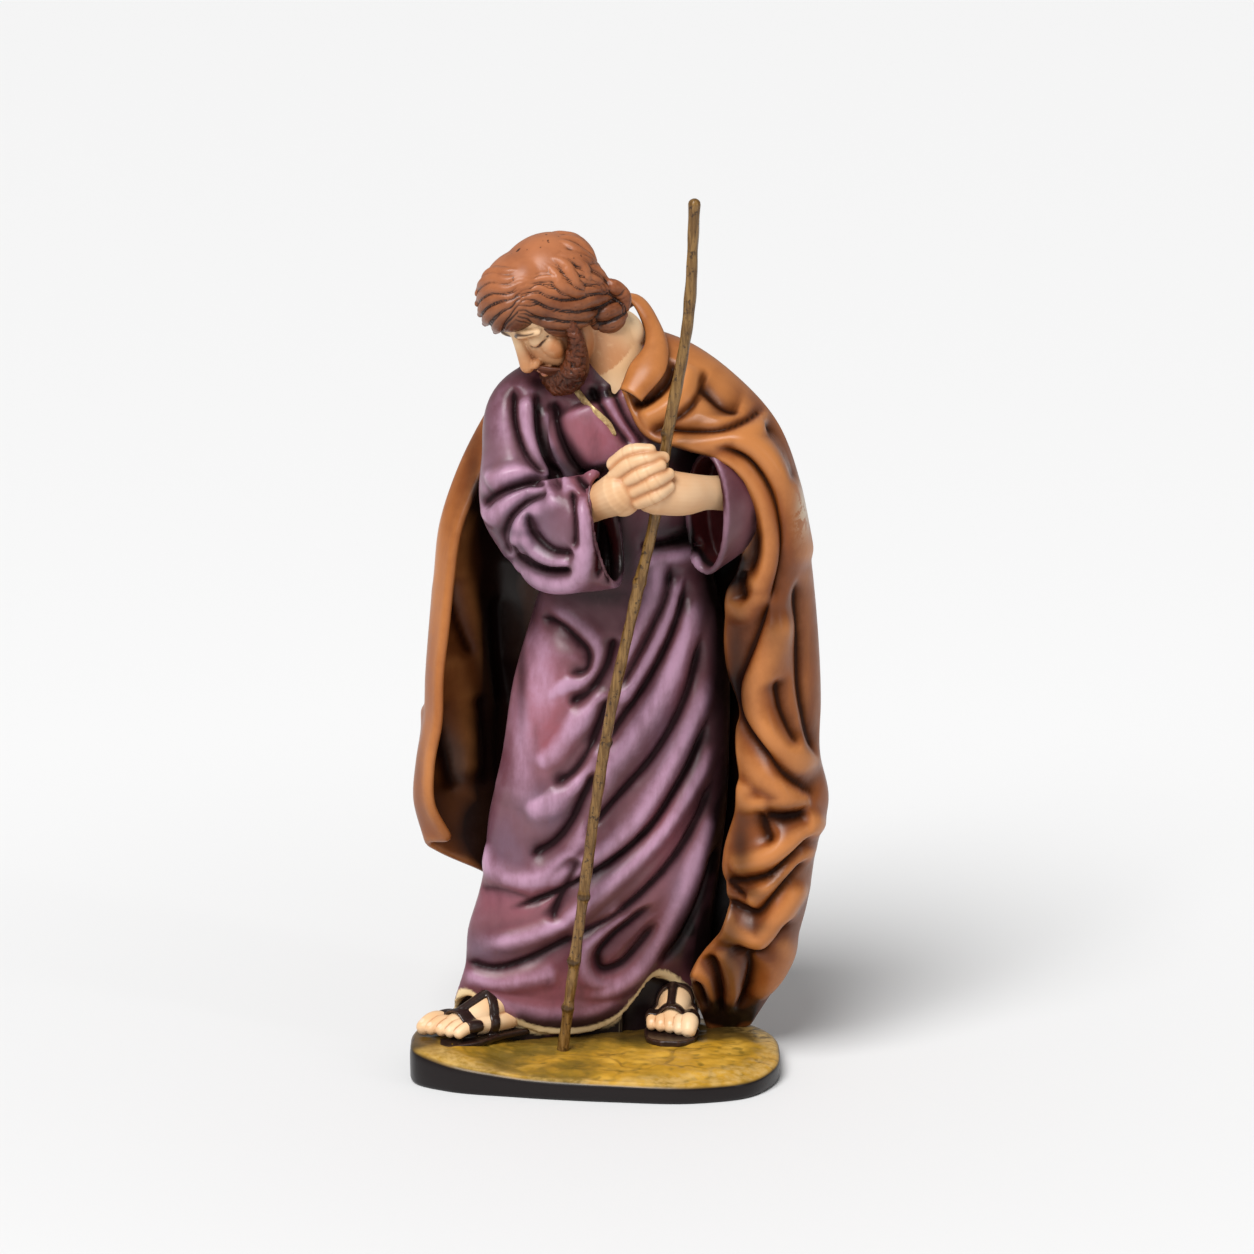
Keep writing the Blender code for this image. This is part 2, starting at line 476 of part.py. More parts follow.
# Each rib of the cloak runs from the neck to the hem: front edge, round the left arm, back, right side
CLOAK_RIBS = [
    [
        (14, -10, 352), (26, -22, 330), (46, -30, 324), (70, -30, 314), (77, -22, 282), (67, -10, 248),
        (65, -4, 212), (71, -4, 182), (73, -8, 146), (65, -8, 110), (68, -8, 82), (52, 8, 47), (62, 31, 10),
    ],
    [
        (21, -4, 362), (38, -20, 344), (60, -32, 331), (84, -32, 310), (91, -28, 278), (85, -24, 240),
        (82, -20, 208), (85, -20, 176), (94, -20, 142), (90, -18, 112), (88, -14, 82), (78, 2, 48),
        (70, 34, 10),
    ],
    [
        (22, 12, 376), (47, 8, 369), (71, 4, 353), (91, 2, 331), (101.5, 2, 304), (107, 4, 268),
        (111, 6, 230),
        (113.5, 8, 190), (113.5, 8, 160), (118, 8, 139), (112, 10, 112), (107.5, 12, 82), (97, 20, 46),
        (80, 34, 12),
    ],
    [
        (16, 26, 380), (41, 32, 370), (64, 38, 349), (82, 42, 320), (92, 44, 286), (97, 46, 250),
        (99, 48, 212), (100, 48, 174), (101, 48, 138), (99, 48, 106), (94, 48, 76), (88, 46, 44),
        (82, 42, 14),
    ],
    [
        (2, 32, 381), (6, 46, 367), (9, 54, 346), (10, 58, 318), (10, 60, 286), (9, 61, 250),
        (8, 62, 212), (6, 63, 174), (4, 62, 142), (2, 61, 114), (0, 60, 86), (0, 58, 60), (0, 56, 36),
    ],
    [
        (-9, 26, 377), (-21, 38, 363), (-33, 44, 347), (-43, 48, 324), (-51, 51, 295), (-55, 54, 264),
        (-57, 56, 232), (-58, 57, 200), (-58, 56, 172), (-57, 54, 148), (-55, 52, 126), (-52, 50, 106),
        (-48, 48, 86),
    ],
    [
        (-13, 20, 373), (-33, 26, 361), (-47, 26, 346), (-58, 24, 328), (-69.5, 20, 304), (-78, 17, 278),
        (-81, 15, 252), (-83.5, 13, 226), (-85.5, 12, 202), (-86.5, 12, 180), (-90.5, 13, 158),
        (-92, 15, 137), (-86, 20, 114),
    ],
    [
        (-11, 14, 371), (-31, 16, 358), (-43, 15, 344), (-51, 12, 325), (-60, 8, 302), (-70, 4, 278),
        (-74, 2, 254), (-77, 0, 228), (-80, 0, 204), (-81, 0, 180), (-85, 2, 158), (-85, 5, 136),
        (-76, 11, 116),
    ],
]


def cloak():
    rows, columns = 120, 130
    ribs = np.array([along(rib, rows) for rib in CLOAK_RIBS])
    surface = np.array([along(ribs[:, r], columns) for r in range(rows)])
    # Flutes hang from the shoulders down the back and round the left side
    down = np.linspace(0, 1, rows)[:, None]
    over = np.linspace(0, 1, columns)[None, :]
    behind = eased(0.36, 0.5, over) * eased(0, 0.12, 0.94 - over) * eased(0.12, 0.6, down)
    wave = np.sin(2 * math.pi * (5.5 * over + 0.22 * np.sin(4 * down + 5 * over)))
    wave += 0.4 * np.sin(2 * math.pi * (9.5 * over + 0.3 * down))
    surface += sheet_normals(surface) * (FLUTE_DEPTH / UNIT * wave * behind)[:, :, None]
    return [shell(surface, CLOAK_THICKNESS / UNIT)]


def collar():
    line = [(-8, 32, 378), (9, 32, 383), (23, 17, 379), (26, 4, 368), (20, -8, 355), (13, -14, 346)]
    return [tube(line, [7, 8, 8, 8, 8, 7], 30, 14, flat=0.45)]


def foot(heel, toe):
    """A bare foot on its sandal: the flesh and the leather, each as a list of forms."""
    heel, toe = np.array(heel, float), np.array(toe, float)
    ahead = toe - heel
    side = np.cross(ahead, (0, 0, 1.0))
    side /= np.linalg.norm(side)

    def at(share, across, up):
        return heel + ahead * share + side * across + np.array((0, 0, float(up)))

    flesh = [
        tube([at(-0.1, 0, 19), at(0.2, 0, 17), at(0.5, 0, 12.5), at(0.82, 0, 8)], [8, 9, 8.5, 6], flat=1.15),
        tube([at(0.05, 0, 9), at(0.5, 0, 8.5), at(0.82, 0, 7.5)], [7.5, 8, 6], flat=1.5),
    ]
    for i in range(5):
        across = (i - 2) * 5.2
        reach = 1.03 - 0.045 * i
        size = 3.7 - 0.2 * i if i else 4.6
        flesh.append(tube([at(reach - 0.26, across, 8.5), at(reach, across, 6)], [size, size], 8, 10))
    sole = [(*at(-0.05, 0, 0)[:2], 0), (*at(0.45, 0, 0)[:2], 0), (*at(0.98, 0, 0)[:2], 0)]
    points, faces = tube(sole, [11, 12.5, 15])
    points[:, 2] = heel[2] + 1.0 + points[:, 2] * 0.2
    leather = [(points, faces)]
    for share, wide, high in ((0.68, 14, 12.5), (0.36, 12.5, 20.5)):
        over = [at(share, -wide, 2), at(share, -wide * 0.86, high * 0.7), at(share, 0, high + 1.6)]
        over += [at(share, wide * 0.86, high * 0.7), at(share, wide, 2)]
        leather.append(tube(over, [3.8, 3.8], 20, 10, flat=0.42, up=ahead))
    ridge = [at(0.12, 0, 26), at(0.3, 1, 24), at(0.5, 0, 19.5), at(0.66, 0, 14)]
    leather.append(tube(ridge, [2.4, 2.4], 16, 10, flat=1.2))
    return flesh, leather


def feet():
    """Both feet: all the flesh, then all the leather."""
    right = foot((-45, 14, 17.5), (-79, -10, 17.5))
    left = foot((42, 42, 12), (38, 9, 12))
    return right[0] + left[0], right[1] + left[1]


# The ground's outline as shares of its half length and half depth, and its height there as a share
# of its thickness round the feet
BASE_OUTLINE = [
    (-1.0, -0.10, 1.5), (-0.97, -0.45, 1.5), (-0.80, -0.66, 1.25), (-0.45, -0.82, 0.95), (0.10, -0.97, 0.85),
    (0.55, -1.0, 0.8), (0.82, -0.84, 0.8), (0.97, -0.45, 0.85), (1.0, 0.0, 0.9), (0.98, 0.40, 0.9),
    (0.85, 0.78, 0.9), (0.50, 0.98, 0.9), (0.0, 1.0, 1.0), (-0.55, 0.96, 1.1), (-0.86, 0.70, 1.25),
    (-0.98, 0.28, 1.4),
]


def base():
    """The ground, in metres: a flat-bottomed slab with a rounded rim, higher at its left end."""
    reach = np.array((BASE_LENGTH / 2, BASE_DEPTH / 2, BASE_THICKNESS))
    ring = along(np.array(BASE_OUTLINE) * reach, 120, closed=True)
    outline, edge = ring[:, :2] - (0, BASE_FORWARD), ring[:, 2]
    middle = outline.mean(0)
    radius = np.linalg.norm(outline - middle, axis=1)[:, None]
    soft = BASE_ROUNDING
    levels = [(0.8 * soft, 0), (0.2 * soft, 0.7 * soft), (0, 0.5 * edge), (0.25 * soft, edge - soft)]
    levels += [(soft, edge - 0.3 * soft), (2 * soft, edge)]
    rings = []
    for inset, level in levels:
        inner = outline + (middle - outline) * inset / radius
        rings.append(np.column_stack([inner, level + 0 * edge]))
    raised = 0.5 * BASE_THICKNESS
    for share in (0.88, 0.78, 0.66, 0.5, 0.3, 0.12):
        flat = middle + (outline - middle) * share
        inside = BASE_THICKNESS + raised * eased(0.45, 0.8, -flat[:, 0] / reach[0])
        rings.append(np.column_stack([flat, edge + (inside - edge) * eased(0, 0.3, 1 - share)]))
    return [loft(np.array(rings))]


def staff_path(count):
    """The staff's middle line in metres, from the middle of its lower round end."""
    foot_at = np.array((-16.5 * UNIT, -9.0 * UNIT, BASE_THICKNESS))
    top_at = np.array((48.0 * UNIT, -56.0 * UNIT, STANDS_AT + 444.0 * UNIT))
    line = (top_at - foot_at) / np.linalg.norm(top_at - foot_at)
    start = foot_at - line * (SOCKET_DEPTH - STAFF_DIAMETER / 2)
    # Share of the length, and how far the wood bends to the right there
    bends = np.array([
        (0, 0), (0.19, -1.7), (0.42, -2.3), (0.56, 1.5), (0.65, 4.4), (0.74, 4.4), (0.87, 5.6), (1, 0),
    ], float)
    share = np.linspace(0, 1, count)
    points = start + line * (share * (STAFF_LENGTH - STAFF_DIAMETER))[:, None]
    points[:, 0] += smooth(bends[:, 0], bends[:, 1], share) * UNIT
    return points


def standing(form):
    """A form drawn in units, in metres and on its ground."""
    points, faces = form
    return points * UNIT + (0, 0, STANDS_AT), faces


def mesh_object(name, form):
    points, faces = form
    mesh = bpy.data.meshes.new(name)
    mesh.from_pydata(points.tolist(), [], faces)
    mesh.update()
    made = bpy.data.objects.new(name, mesh)
    bpy.context.scene.collection.objects.link(made)
    return made


def settled(made):
    """Replaces an object's mesh by what its modifiers give, and removes them."""
    bpy.context.view_layer.update()
    graph = bpy.context.evaluated_depsgraph_get()
    mesh = bpy.data.meshes.new_from_object(made.evaluated_get(graph))
    made.modifiers.clear()
    made.data = mesh
    return made


def fused(made, step, rounds=3):
    """Overlapping forms of one object become one skin, on a grid of the given step."""
    remesh = made.modifiers.new("fuse", "REMESH")
    remesh.mode = "VOXEL"
    remesh.voxel_size = step
    soften = made.modifiers.new("soften", "SMOOTH")
    soften.factor = 0.5
    soften.iterations = rounds
    return settled(made)


def eased(low, high, value):
    t = np.clip((value - low) / (high - low), 0, 1)
    return t * t * (3 - 2 * t)


def nearest_on(line, points):
    """For each point, its distance to a line of short spans and where along it that is, from 0 to 1."""
    best = np.full(len(points), np.inf)
    where = np.zeros(len(points))
    spans = len(line) - 1
    for i in range(spans):
        span = line[i + 1] - line[i]
        t = np.clip((points - line[i]) @ span / (span @ span), 0, 1)
        gap = np.linalg.norm(points - line[i] - t[:, None] * span, axis=1)
        closer = gap < best
        best[closer] = gap[closer]
        where[closer] = (i + t[closer]) / spans
    return best, where


def carve(made, folds, depth, rearmost, spans=18, fade=0.22):
    """Raises and cuts folds, depth times as much, on what faces the front and lies ahead of rearmost."""
    mesh = made.data
    points = (geometry(made)[0] - (0, 0, STANDS_AT)) / UNIT
    normals = np.zeros(len(points) * 3, np.float32)
    mesh.vertex_normals.foreach_get("vector", normals)
    normals = normals.reshape(-1, 3)
    front = eased(0.0, 0.35, -normals[:, 1]) * eased(0, 10, rearmost - points[:, 1])
    lift = np.zeros(len(points))
    for half_width, height, line in folds.values():
        line = along(line, spans + 1)
        low, high = line.min(0) - half_width, line.max(0) + half_width
        flat = points[:, [0, 2]]
        close = np.flatnonzero(((flat > low) & (flat < high)).all(1) & (front > 0))
        gap, where = nearest_on(line, flat[close])
        share = np.clip(1 - gap / half_width, 0, 1)
        profile = share**1.6 if height < 0 else share * share * (3 - 2 * share)
        ends = eased(0, fade, where) * eased(0, fade, 1 - where)
        lift[close] += depth * height * profile * ends
    points += normals * (lift * front)[:, None]
    points = points * UNIT + (0, 0, STANDS_AT)
    mesh.vertices.foreach_set("co", points.astype(np.float32).ravel())
    mesh.update()
    return made


def geometry(made):
    """An object's points in metres and its faces."""
    points = np.zeros(len(made.data.vertices) * 3, np.float32)
    made.data.vertices.foreach_get("co", points)
    return points.reshape(-1, 3).astype(float), [list(p.vertices) for p in made.data.polygons]


def merged(name, objects):
    """Several objects become one, which keeps all their forms."""
    form = joined([geometry(o) for o in objects])
    for o in objects:
        bpy.data.objects.remove(o)
    return mesh_object(name, form)


def outermost(made):
    """Keeps the largest connected skin, so that no cavity is left sealed inside."""
    points, faces = geometry(made)
    label = np.arange(len(points))
    ends = np.array([(face[i], face[i - 1]) for face in faces for i in range(len(face))])
    while True:
        low = np.minimum(label[ends[:, 0]], label[ends[:, 1]])
        before = label.copy()
        np.minimum.at(label, ends[:, 0], low)
        np.minimum.at(label, ends[:, 1], low)
        label = label[label]
        if (label == before).all():
            break
    keep = label == np.bincount(label).argmax()
    number = np.cumsum(keep) - 1
    kept = [[int(number[i]) for i in face] for face in faces if keep[face[0]]]
    name = made.name
    bpy.data.objects.remove(made)
    return mesh_object(name, (points[keep], kept))


def thinned(made, triangles):
    """Fewer, larger triangles where the surface allows it."""
    made.data.calc_loop_triangles()
    reduce = made.modifiers.new("thin", "DECIMATE")
    reduce.ratio = triangles / len(made.data.loop_triangles)
    reduce.use_collapse_triangulate = True
    return settled(made)


def cut(made, cutter):
    """Takes a cutter's shape out of an object."""
    cutter.hide_render = True
    cutter.display_type = "WIRE"
    take = made.modifiers.new("cut", "BOOLEAN")
    take.operation = "DIFFERENCE"
    take.solver = "EXACT"
    take.object = cutter
    settled(made)
    bpy.data.objects.remove(cutter)
    return made


def painted(made, name, colour, roughness, metallic=0.0):
    material = bpy.data.materials.new(name)
    material.use_nodes = True
    shader = material.node_tree.nodes["Principled BSDF"]
    shader.inputs["Base Color"].default_value = (*colour, 1.0)
    shader.inputs["Roughness"].default_value = roughness
    shader.inputs["Metallic"].default_value = metallic
    made.data.materials.clear()
    made.data.materials.append(material)


def clear():
    for old in list(bpy.data.objects):
        bpy.data.objects.remove(old, do_unlink=True)


def forms():
    """The figure's forms, each group of one colour as one object."""
    cloth = joined([body()] + right_sleeve() + left_sleeve())
    tunic = fused(mesh_object("tunic", standing(cloth)), CARVING_STEP)
    carve(tunic, {**SKIRT_FOLDS, **TORSO_FOLDS, **SLEEVE_FOLDS}, *TUNIC_CARVING)
    cape = fused(mesh_object("cloak", standing(joined(cloak() + collar()))), CARVING_STEP)
    carve(cape, CLOAK_FOLDS, *CLOAK_CARVING)
    carve(cape, LINING_FOLDS, *LINING_CARVING)
    flesh, leather = feet()
    groups = {"skin": hands() + head() + flesh, "hairs": hair() + beard(), "sandals": leather}
    made = [mesh_object(name, standing(joined(group))) for name, group in groups.items()]
    return [tunic, cape, mesh_object("ground", joined(base()))] + made


def figure():
    """One casting, with the bore that the staff stands in."""
    made = outermost(fused(merged("figure", forms()), FUSING_STEP, 1))
    made = thinned(made, FIGURE_TRIANGLES)
    cut(made, staff("bore", STAFF_DIAMETER / 2 + STAFF_CLEARANCE))
    painted(made, "painted casting", (0.20, 0.09, 0.11), 0.42)
    return made


def staff(name="staff", radius=STAFF_DIAMETER / 2):
    made = mesh_object(name, tube(staff_path(24), [radius] * 2, 24, 12))
    painted(made, "painted stick", (0.26, 0.16, 0.05), 0.38)
    return made


def main():
    clear()
    figure()
    staff()


if __name__ == "__main__":
    main()
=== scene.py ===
import math

import bpy
import numpy as np
from mathutils import Matrix, Vector, noise
from mathutils.bvhtree import BVHTree
from mathutils.kdtree import KDTree


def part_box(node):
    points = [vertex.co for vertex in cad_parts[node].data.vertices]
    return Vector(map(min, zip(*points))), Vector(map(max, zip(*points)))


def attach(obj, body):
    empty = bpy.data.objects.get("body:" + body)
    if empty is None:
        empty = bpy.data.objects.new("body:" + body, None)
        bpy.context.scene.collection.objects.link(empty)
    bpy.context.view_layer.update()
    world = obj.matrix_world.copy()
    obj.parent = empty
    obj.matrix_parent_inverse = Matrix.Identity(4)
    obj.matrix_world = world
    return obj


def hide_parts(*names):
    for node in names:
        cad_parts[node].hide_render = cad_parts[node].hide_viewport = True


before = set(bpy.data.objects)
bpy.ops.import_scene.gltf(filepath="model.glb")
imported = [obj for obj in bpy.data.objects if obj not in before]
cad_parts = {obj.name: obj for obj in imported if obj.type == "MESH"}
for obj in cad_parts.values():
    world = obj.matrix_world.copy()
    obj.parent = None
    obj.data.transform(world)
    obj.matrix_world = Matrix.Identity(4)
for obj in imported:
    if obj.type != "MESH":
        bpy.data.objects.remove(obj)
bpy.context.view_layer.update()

# The figure is drawn in units, near enough millimetres, with the crown at the height below
drawnCrown = 427.3
figureLow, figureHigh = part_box("figure")
unit = (figureHigh.z - figureLow.z) / drawnCrown


# Shapes

def smooth(keys, values, at):
    # A smooth curve through values at keys, read at each place in at
    keys, values, at = (np.asarray(a, float) for a in (keys, values, at))
    slopes = np.gradient(values, keys, axis=0)
    i = np.clip(np.searchsorted(keys, at, side="right") - 1, 0, len(keys) - 2)
    gap = keys[i + 1] - keys[i]
    t = np.clip((at - keys[i]) / gap, 0, 1)
    if values.ndim > 1:
        t, gap = t[:, None], gap[:, None]
    rise = values[i + 1] - values[i]
    return (
        values[i]
        + rise * (3 * t**2 - 2 * t**3)
        + slopes[i] * gap * (t**3 - 2 * t**2 + t)
        + slopes[i + 1] * gap * (t**3 - t**2)
    )


def eased(low, high, value):
    t = np.clip((value - low) / (high - low), 0, 1)
    return t * t * (3 - 2 * t)


def along(points, count, closed=False):
    # count points spaced evenly along a smooth curve through a few points
    points = np.asarray(points, float)
    if closed:
        points = np.concatenate([points[-2:], points, points[:3]])
    steps = np.linalg.norm(np.diff(points, axis=0), axis=1)
    length = np.concatenate([[0], np.cumsum(steps)])
    start, end = (length[2], length[-3]) if closed else (0, length[-1])
    return smooth(length, points, np.linspace(start, end, count, endpoint=not closed))


def circle(count):
    return np.linspace(0, 2 * math.pi, count, endpoint=False)


def squared(wave, power):
    return np.sign(wave) * np.abs(wave) ** power


def sized(vectors):
    return vectors / np.linalg.norm(vectors, axis=-1, keepdims=True)


def spreadOut(values, count):
    # A few values along a line, as a smooth run of count values
    return smooth(np.linspace(0, 1, len(values)), values, np.linspace(0, 1, count))


def gridFaces(rows, columns, closed):
    spans = columns if closed else columns - 1
    r, c = np.meshgrid(np.arange(rows - 1), np.arange(spans), indexing="ij")
    n = (c + 1) % columns
    quads = np.stack([r * columns + c, r * columns + n, (r + 1) * columns + n, (r + 1) * columns + c], -1)
    return quads.reshape(-1, 4).tolist()


def outward(points, faces):
    # Turns the faces of a closed form round where they look inwards
    corners = np.array([(face[0], face[i], face[i + 1]) for face in faces for i in range(1, len(face) - 1)])
    a, b, c = (points[corners[:, i]] for i in range(3))
    volume = (a * np.cross(b, c)).sum()
    return points, faces if volume > 0 else [face[::-1] for face in faces]


def loft(rings):
    # A closed form through rings of points, rows by columns, with a fan over each end
    rows, columns, _ = rings.shape
    points = np.concatenate([rings.reshape(-1, 3), [rings[0].mean(0)], [rings[-1].mean(0)]])
    faces = gridFaces(rows, columns, True)
    first, last, end = rows * columns, rows * columns + 1, (rows - 1) * columns
    for c in range(columns):
        n = (c + 1) % columns
        faces.append([first, n, c])
        faces.append([last, end + c, end + n])
    return outward(points, faces)


def tube(points, radii, count=24, sides=16, flat=1.0, up=(0, 0, 1)):
    # A closed round-ended form along a smooth curve. flat is its width over its height.
    path = along(points, count)
    radius = spreadOut(radii, count)
    tangent = sized(np.gradient(path, axis=0))
    side = np.cross(tangent, np.array(up, float))
    side /= np.linalg.norm(side, axis=1, keepdims=True) + 1e-9
    top = np.cross(side, tangent)
    turn = circle(sides)[:, None]
    swell, reach = (0.35, 0.68, 0.9), (0.94, 0.73, 0.44)

    def ring(i, share, out):
        spread = flat * side[i] * np.cos(turn) + top[i] * np.sin(turn)
        return path[i] + tangent[i] * radius[i] * out + radius[i] * share * spread

    rings = [ring(0, share, -out) for share, out in zip(swell, reach)]
    rings += [ring(i, 1.0, 0.0) for i in range(count)]
    rings += [ring(-1, share, out) for share, out in zip(swell[::-1], reach[::-1])]
    return loft(np.array(rings))


def ball(centre, radii, rows=20, columns=30):
    polar = np.linspace(0.08, math.pi - 0.08, rows)[:, None]
    around = circle(columns)[None, :]
    x, y, z = np.sin(polar) * np.cos(around), np.sin(polar) * np.sin(around), np.cos(polar) + 0 * around
    return loft(np.stack([x, y, z], -1) * np.array(radii) + np.array(centre))


def joined(forms):
    points, faces, start = [], [], 0
    for p, f in forms:
        points.append(p)
        faces += [[i + start for i in face] for face in f]
        start += len(p)
    return np.concatenate(points), faces


# Meshes

def meshObject(name, form):
    # An object of a form drawn in units
    points, faces = form
    mesh = bpy.data.meshes.new(name)
    mesh.from_pydata((points * unit).tolist(), [], faces)
    mesh.update()
    made = bpy.data.objects.new(name, mesh)
    bpy.context.scene.collection.objects.link(made)
    return made


def settled(made):
    # An object's mesh becomes what its modifiers give, and they go
    bpy.context.view_layer.update()
    mesh = bpy.data.meshes.new_from_object(made.evaluated_get(bpy.context.evaluated_depsgraph_get()))
    made.modifiers.clear()
    old, made.data = made.data, mesh
    bpy.data.meshes.remove(old)
    return made


def fused(made, step, rounds):
    # Overlapping forms become one skin on a grid of step units, softened in a few rounds
    remesh = made.modifiers.new("fuse", "REMESH")
    remesh.mode = "VOXEL"
    remesh.voxel_size = step * unit
    soften = made.modifiers.new("soften", "SMOOTH")
    soften.factor = 0.5
    soften.iterations = rounds
    return settled(made)


def thinned(made, triangles):
    made.data.calc_loop_triangles()
    count = len(made.data.loop_triangles)
    if count > triangles:
        reduce = made.modifiers.new("thin", "DECIMATE")
        reduce.ratio = triangles / count
        settled(made)
    return made


def readPoints(made):
    co = np.zeros(len(made.data.vertices) * 3, np.float32)
    made.data.vertices.foreach_get("co", co)
    return co.reshape(-1, 3).astype(float) / unit


def readNormals(made):
    normal = np.zeros(len(made.data.vertices) * 3, np.float32)
    made.data.vertex_normals.foreach_get("vector", normal)
    return normal.reshape(-1, 3).astype(float)


def writePoints(made, points):
    made.data.vertices.foreach_set("co", (points * unit).astype(np.float32).ravel())
    made.data.update()


def readEdges(made):
    ends = np.zeros(len(made.data.edges) * 2, np.int32)
    made.data.edges.foreach_get("vertices", ends)
    return ends.reshape(-1, 2)


def readAll(made):
    return readPoints(made), readNormals(made), readEdges(made)


def relaxed(values, ends, rounds):
    # Values per vertex, averaged again and again with their neighbours
    count = len(values)
    a, b = np.concatenate([ends[:, 0], ends[:, 1]]), np.concatenate([ends[:, 1], ends[:, 0]])
    number = np.maximum(np.bincount(a, minlength=count), 1)
    flat = values.reshape(count, -1)
    for _ in range(rounds):
        means = [np.bincount(a, weights=flat[b, k], minlength=count) / number for k in range(flat.shape[1])]
        flat = 0.4 * flat + 0.6 * np.stack(means, 1)
    return flat.reshape(values.shape)


def keep(made, name, values):
    made.data.attributes.new(name, "FLOAT", "POINT").data.foreach_set("value", values.astype(np.float32))


def keepAll(made, **values):
    for name, value in values.items():
        keep(made, name, value)


def treeOf(mesh):
    return BVHTree.FromPolygons([v.co for v in mesh.vertices], [p.vertices for p in mesh.polygons])


def lineEnds(count):
    # The edges of a line of points, as pairs of their numbers
    return np.stack([np.arange(count - 1), np.arange(1, count)], 1)


solidTree = treeOf(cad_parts["figure"].data)
goldenTurn = 2.39996


def hollowness(points, normals, ends, reach=55, rays=14, cell=4.0):
    # How shut in each point is by the solids, from 0 in the open to 1 deep in a recess
    key = np.concatenate([np.round(points / cell), np.round(normals)], 1).astype(int)
    _, first, group = np.unique(key, axis=0, return_index=True, return_inverse=True)
    group = group.ravel()
    turn = np.arange(rays) * goldenTurn
    lift = (np.arange(rays) + 0.5) / rays
    spread = np.sqrt(1 - lift**2)
    local = np.stack([np.cos(turn) * spread, np.sin(turn) * spread, lift], 1)
    shut = np.zeros(len(first))
    for g, i in enumerate(first):
        normal = Vector(normals[i])
        frameOf = normal.to_track_quat("Z", "Y").to_matrix()
        start = Vector(points[i] * unit) + normal * 3.0 * unit
        hits = 0.0
        for d in local:
            way = frameOf @ Vector(d)
            hit = solidTree.ray_cast(start, way, reach * unit)
            if hit[0] is not None and hit[1].dot(way) < 0:
                hits += 1 - 0.6 * hit[3] / (reach * unit)
        shut[g] = hits / rays
    return relaxed(shut[group], ends, 14)


# Folds and paint

def nearestOn(line, points):
    # For each point, its distance to a line of short spans and where along it that is, from 0 to 1
    best = np.full(len(points), np.inf)
    where = np.zeros(len(points))
    spans = len(line) - 1
    for i in range(spans):
        span = line[i + 1] - line[i]
        t = np.clip((points - line[i]) @ span / (span @ span), 0, 1)
        gap = np.linalg.norm(points - line[i] - t[:, None] * span, axis=1)
        closer = gap < best
        best[closer] = gap[closer]
        where[closer] = (i + t[closer]) / spans
    return best, where


# How sharply a crease falls away, how far a ridge reaches and how much of its height it takes, and from
# what half width a fold is too broad to be lit
foldShape = {"fall": 1.35, "power": 1.05, "reach": 2.4, "share": 0.75, "broad": 9}


def foldField(points, front, folds, depth, spans=30, fade=0.12):
    # How far each point rises or sinks, the folds' dark wash with painted shade in the creases, and how high
    # they look, which sets their painted highlight
    valley, ridge, wash, tone = (np.zeros(len(points)) for _ in range(4))
    flat = points[:, [0, 2]]
    ahead = front > 0.01
    for halfWidth, height, line in folds.values():
        line = along(line, spans + 1)
        reach = halfWidth * 3
        low, high = line.min(0) - reach, line.max(0) + reach
        close = np.flatnonzero(((flat > low) & (flat < high)).all(1) & ahead)
        gap, where = nearestOn(line, flat[close])
        ends = eased(-0.02, fade, where) * eased(-0.02, fade, 1 - where)
        if height < 0:
            fall = np.exp(-foldShape["fall"] * (gap / halfWidth) ** foldShape["power"])
            valley[close] = np.maximum(valley[close], -height * fall * eased(reach, reach * 0.4, gap) * ends)
            # Darkest right in a crease: the figure's own dark wash there, and painted shade
            dark = 0.75 * np.exp(-1.6 * (gap / halfWidth) ** 1.4) + 0.35 * eased(0.3 * halfWidth, 0, gap)
            dark = np.clip(dark, 0, 1) * min(1.0, -height / 3)
            wash[close] = np.maximum(wash[close], dark * ends)
        else:
            rise = foldShape["share"] * height * eased(halfWidth * foldShape["reach"], 0, gap) * ends
            ridge[close] = np.maximum(ridge[close], rise)
            tone[close] = np.maximum(tone[close], rise * (halfWidth < foldShape["broad"]))
    return depth * (ridge - valley) * front, wash * front, (tone - valley) * front


def blots(points, spots):
    # Soft oval patches of paint on the front, the strongest one at each place
    paint = np.zeros(len(points))
    for x, z, wide, tall, amount in spots:
        reach = ((points[:, 0] - x) / wide) ** 2 + ((points[:, 2] - z) / tall) ** 2
        paint = np.maximum(paint, amount * np.exp(-reach))
    return paint


def paintRelief(made, rounds, fine=3):
    # How far each point stands out from its softened surroundings
    points, normals, ends = readAll(made)
    soft = relaxed(points, ends, fine)
    softer = relaxed(soft, ends, rounds)
    return ((points - softer) * normals).sum(1)


def raisedBy(made, rounds, scale, fine=3):
    return np.clip(paintRelief(made, rounds, fine) / scale, -1, 1)


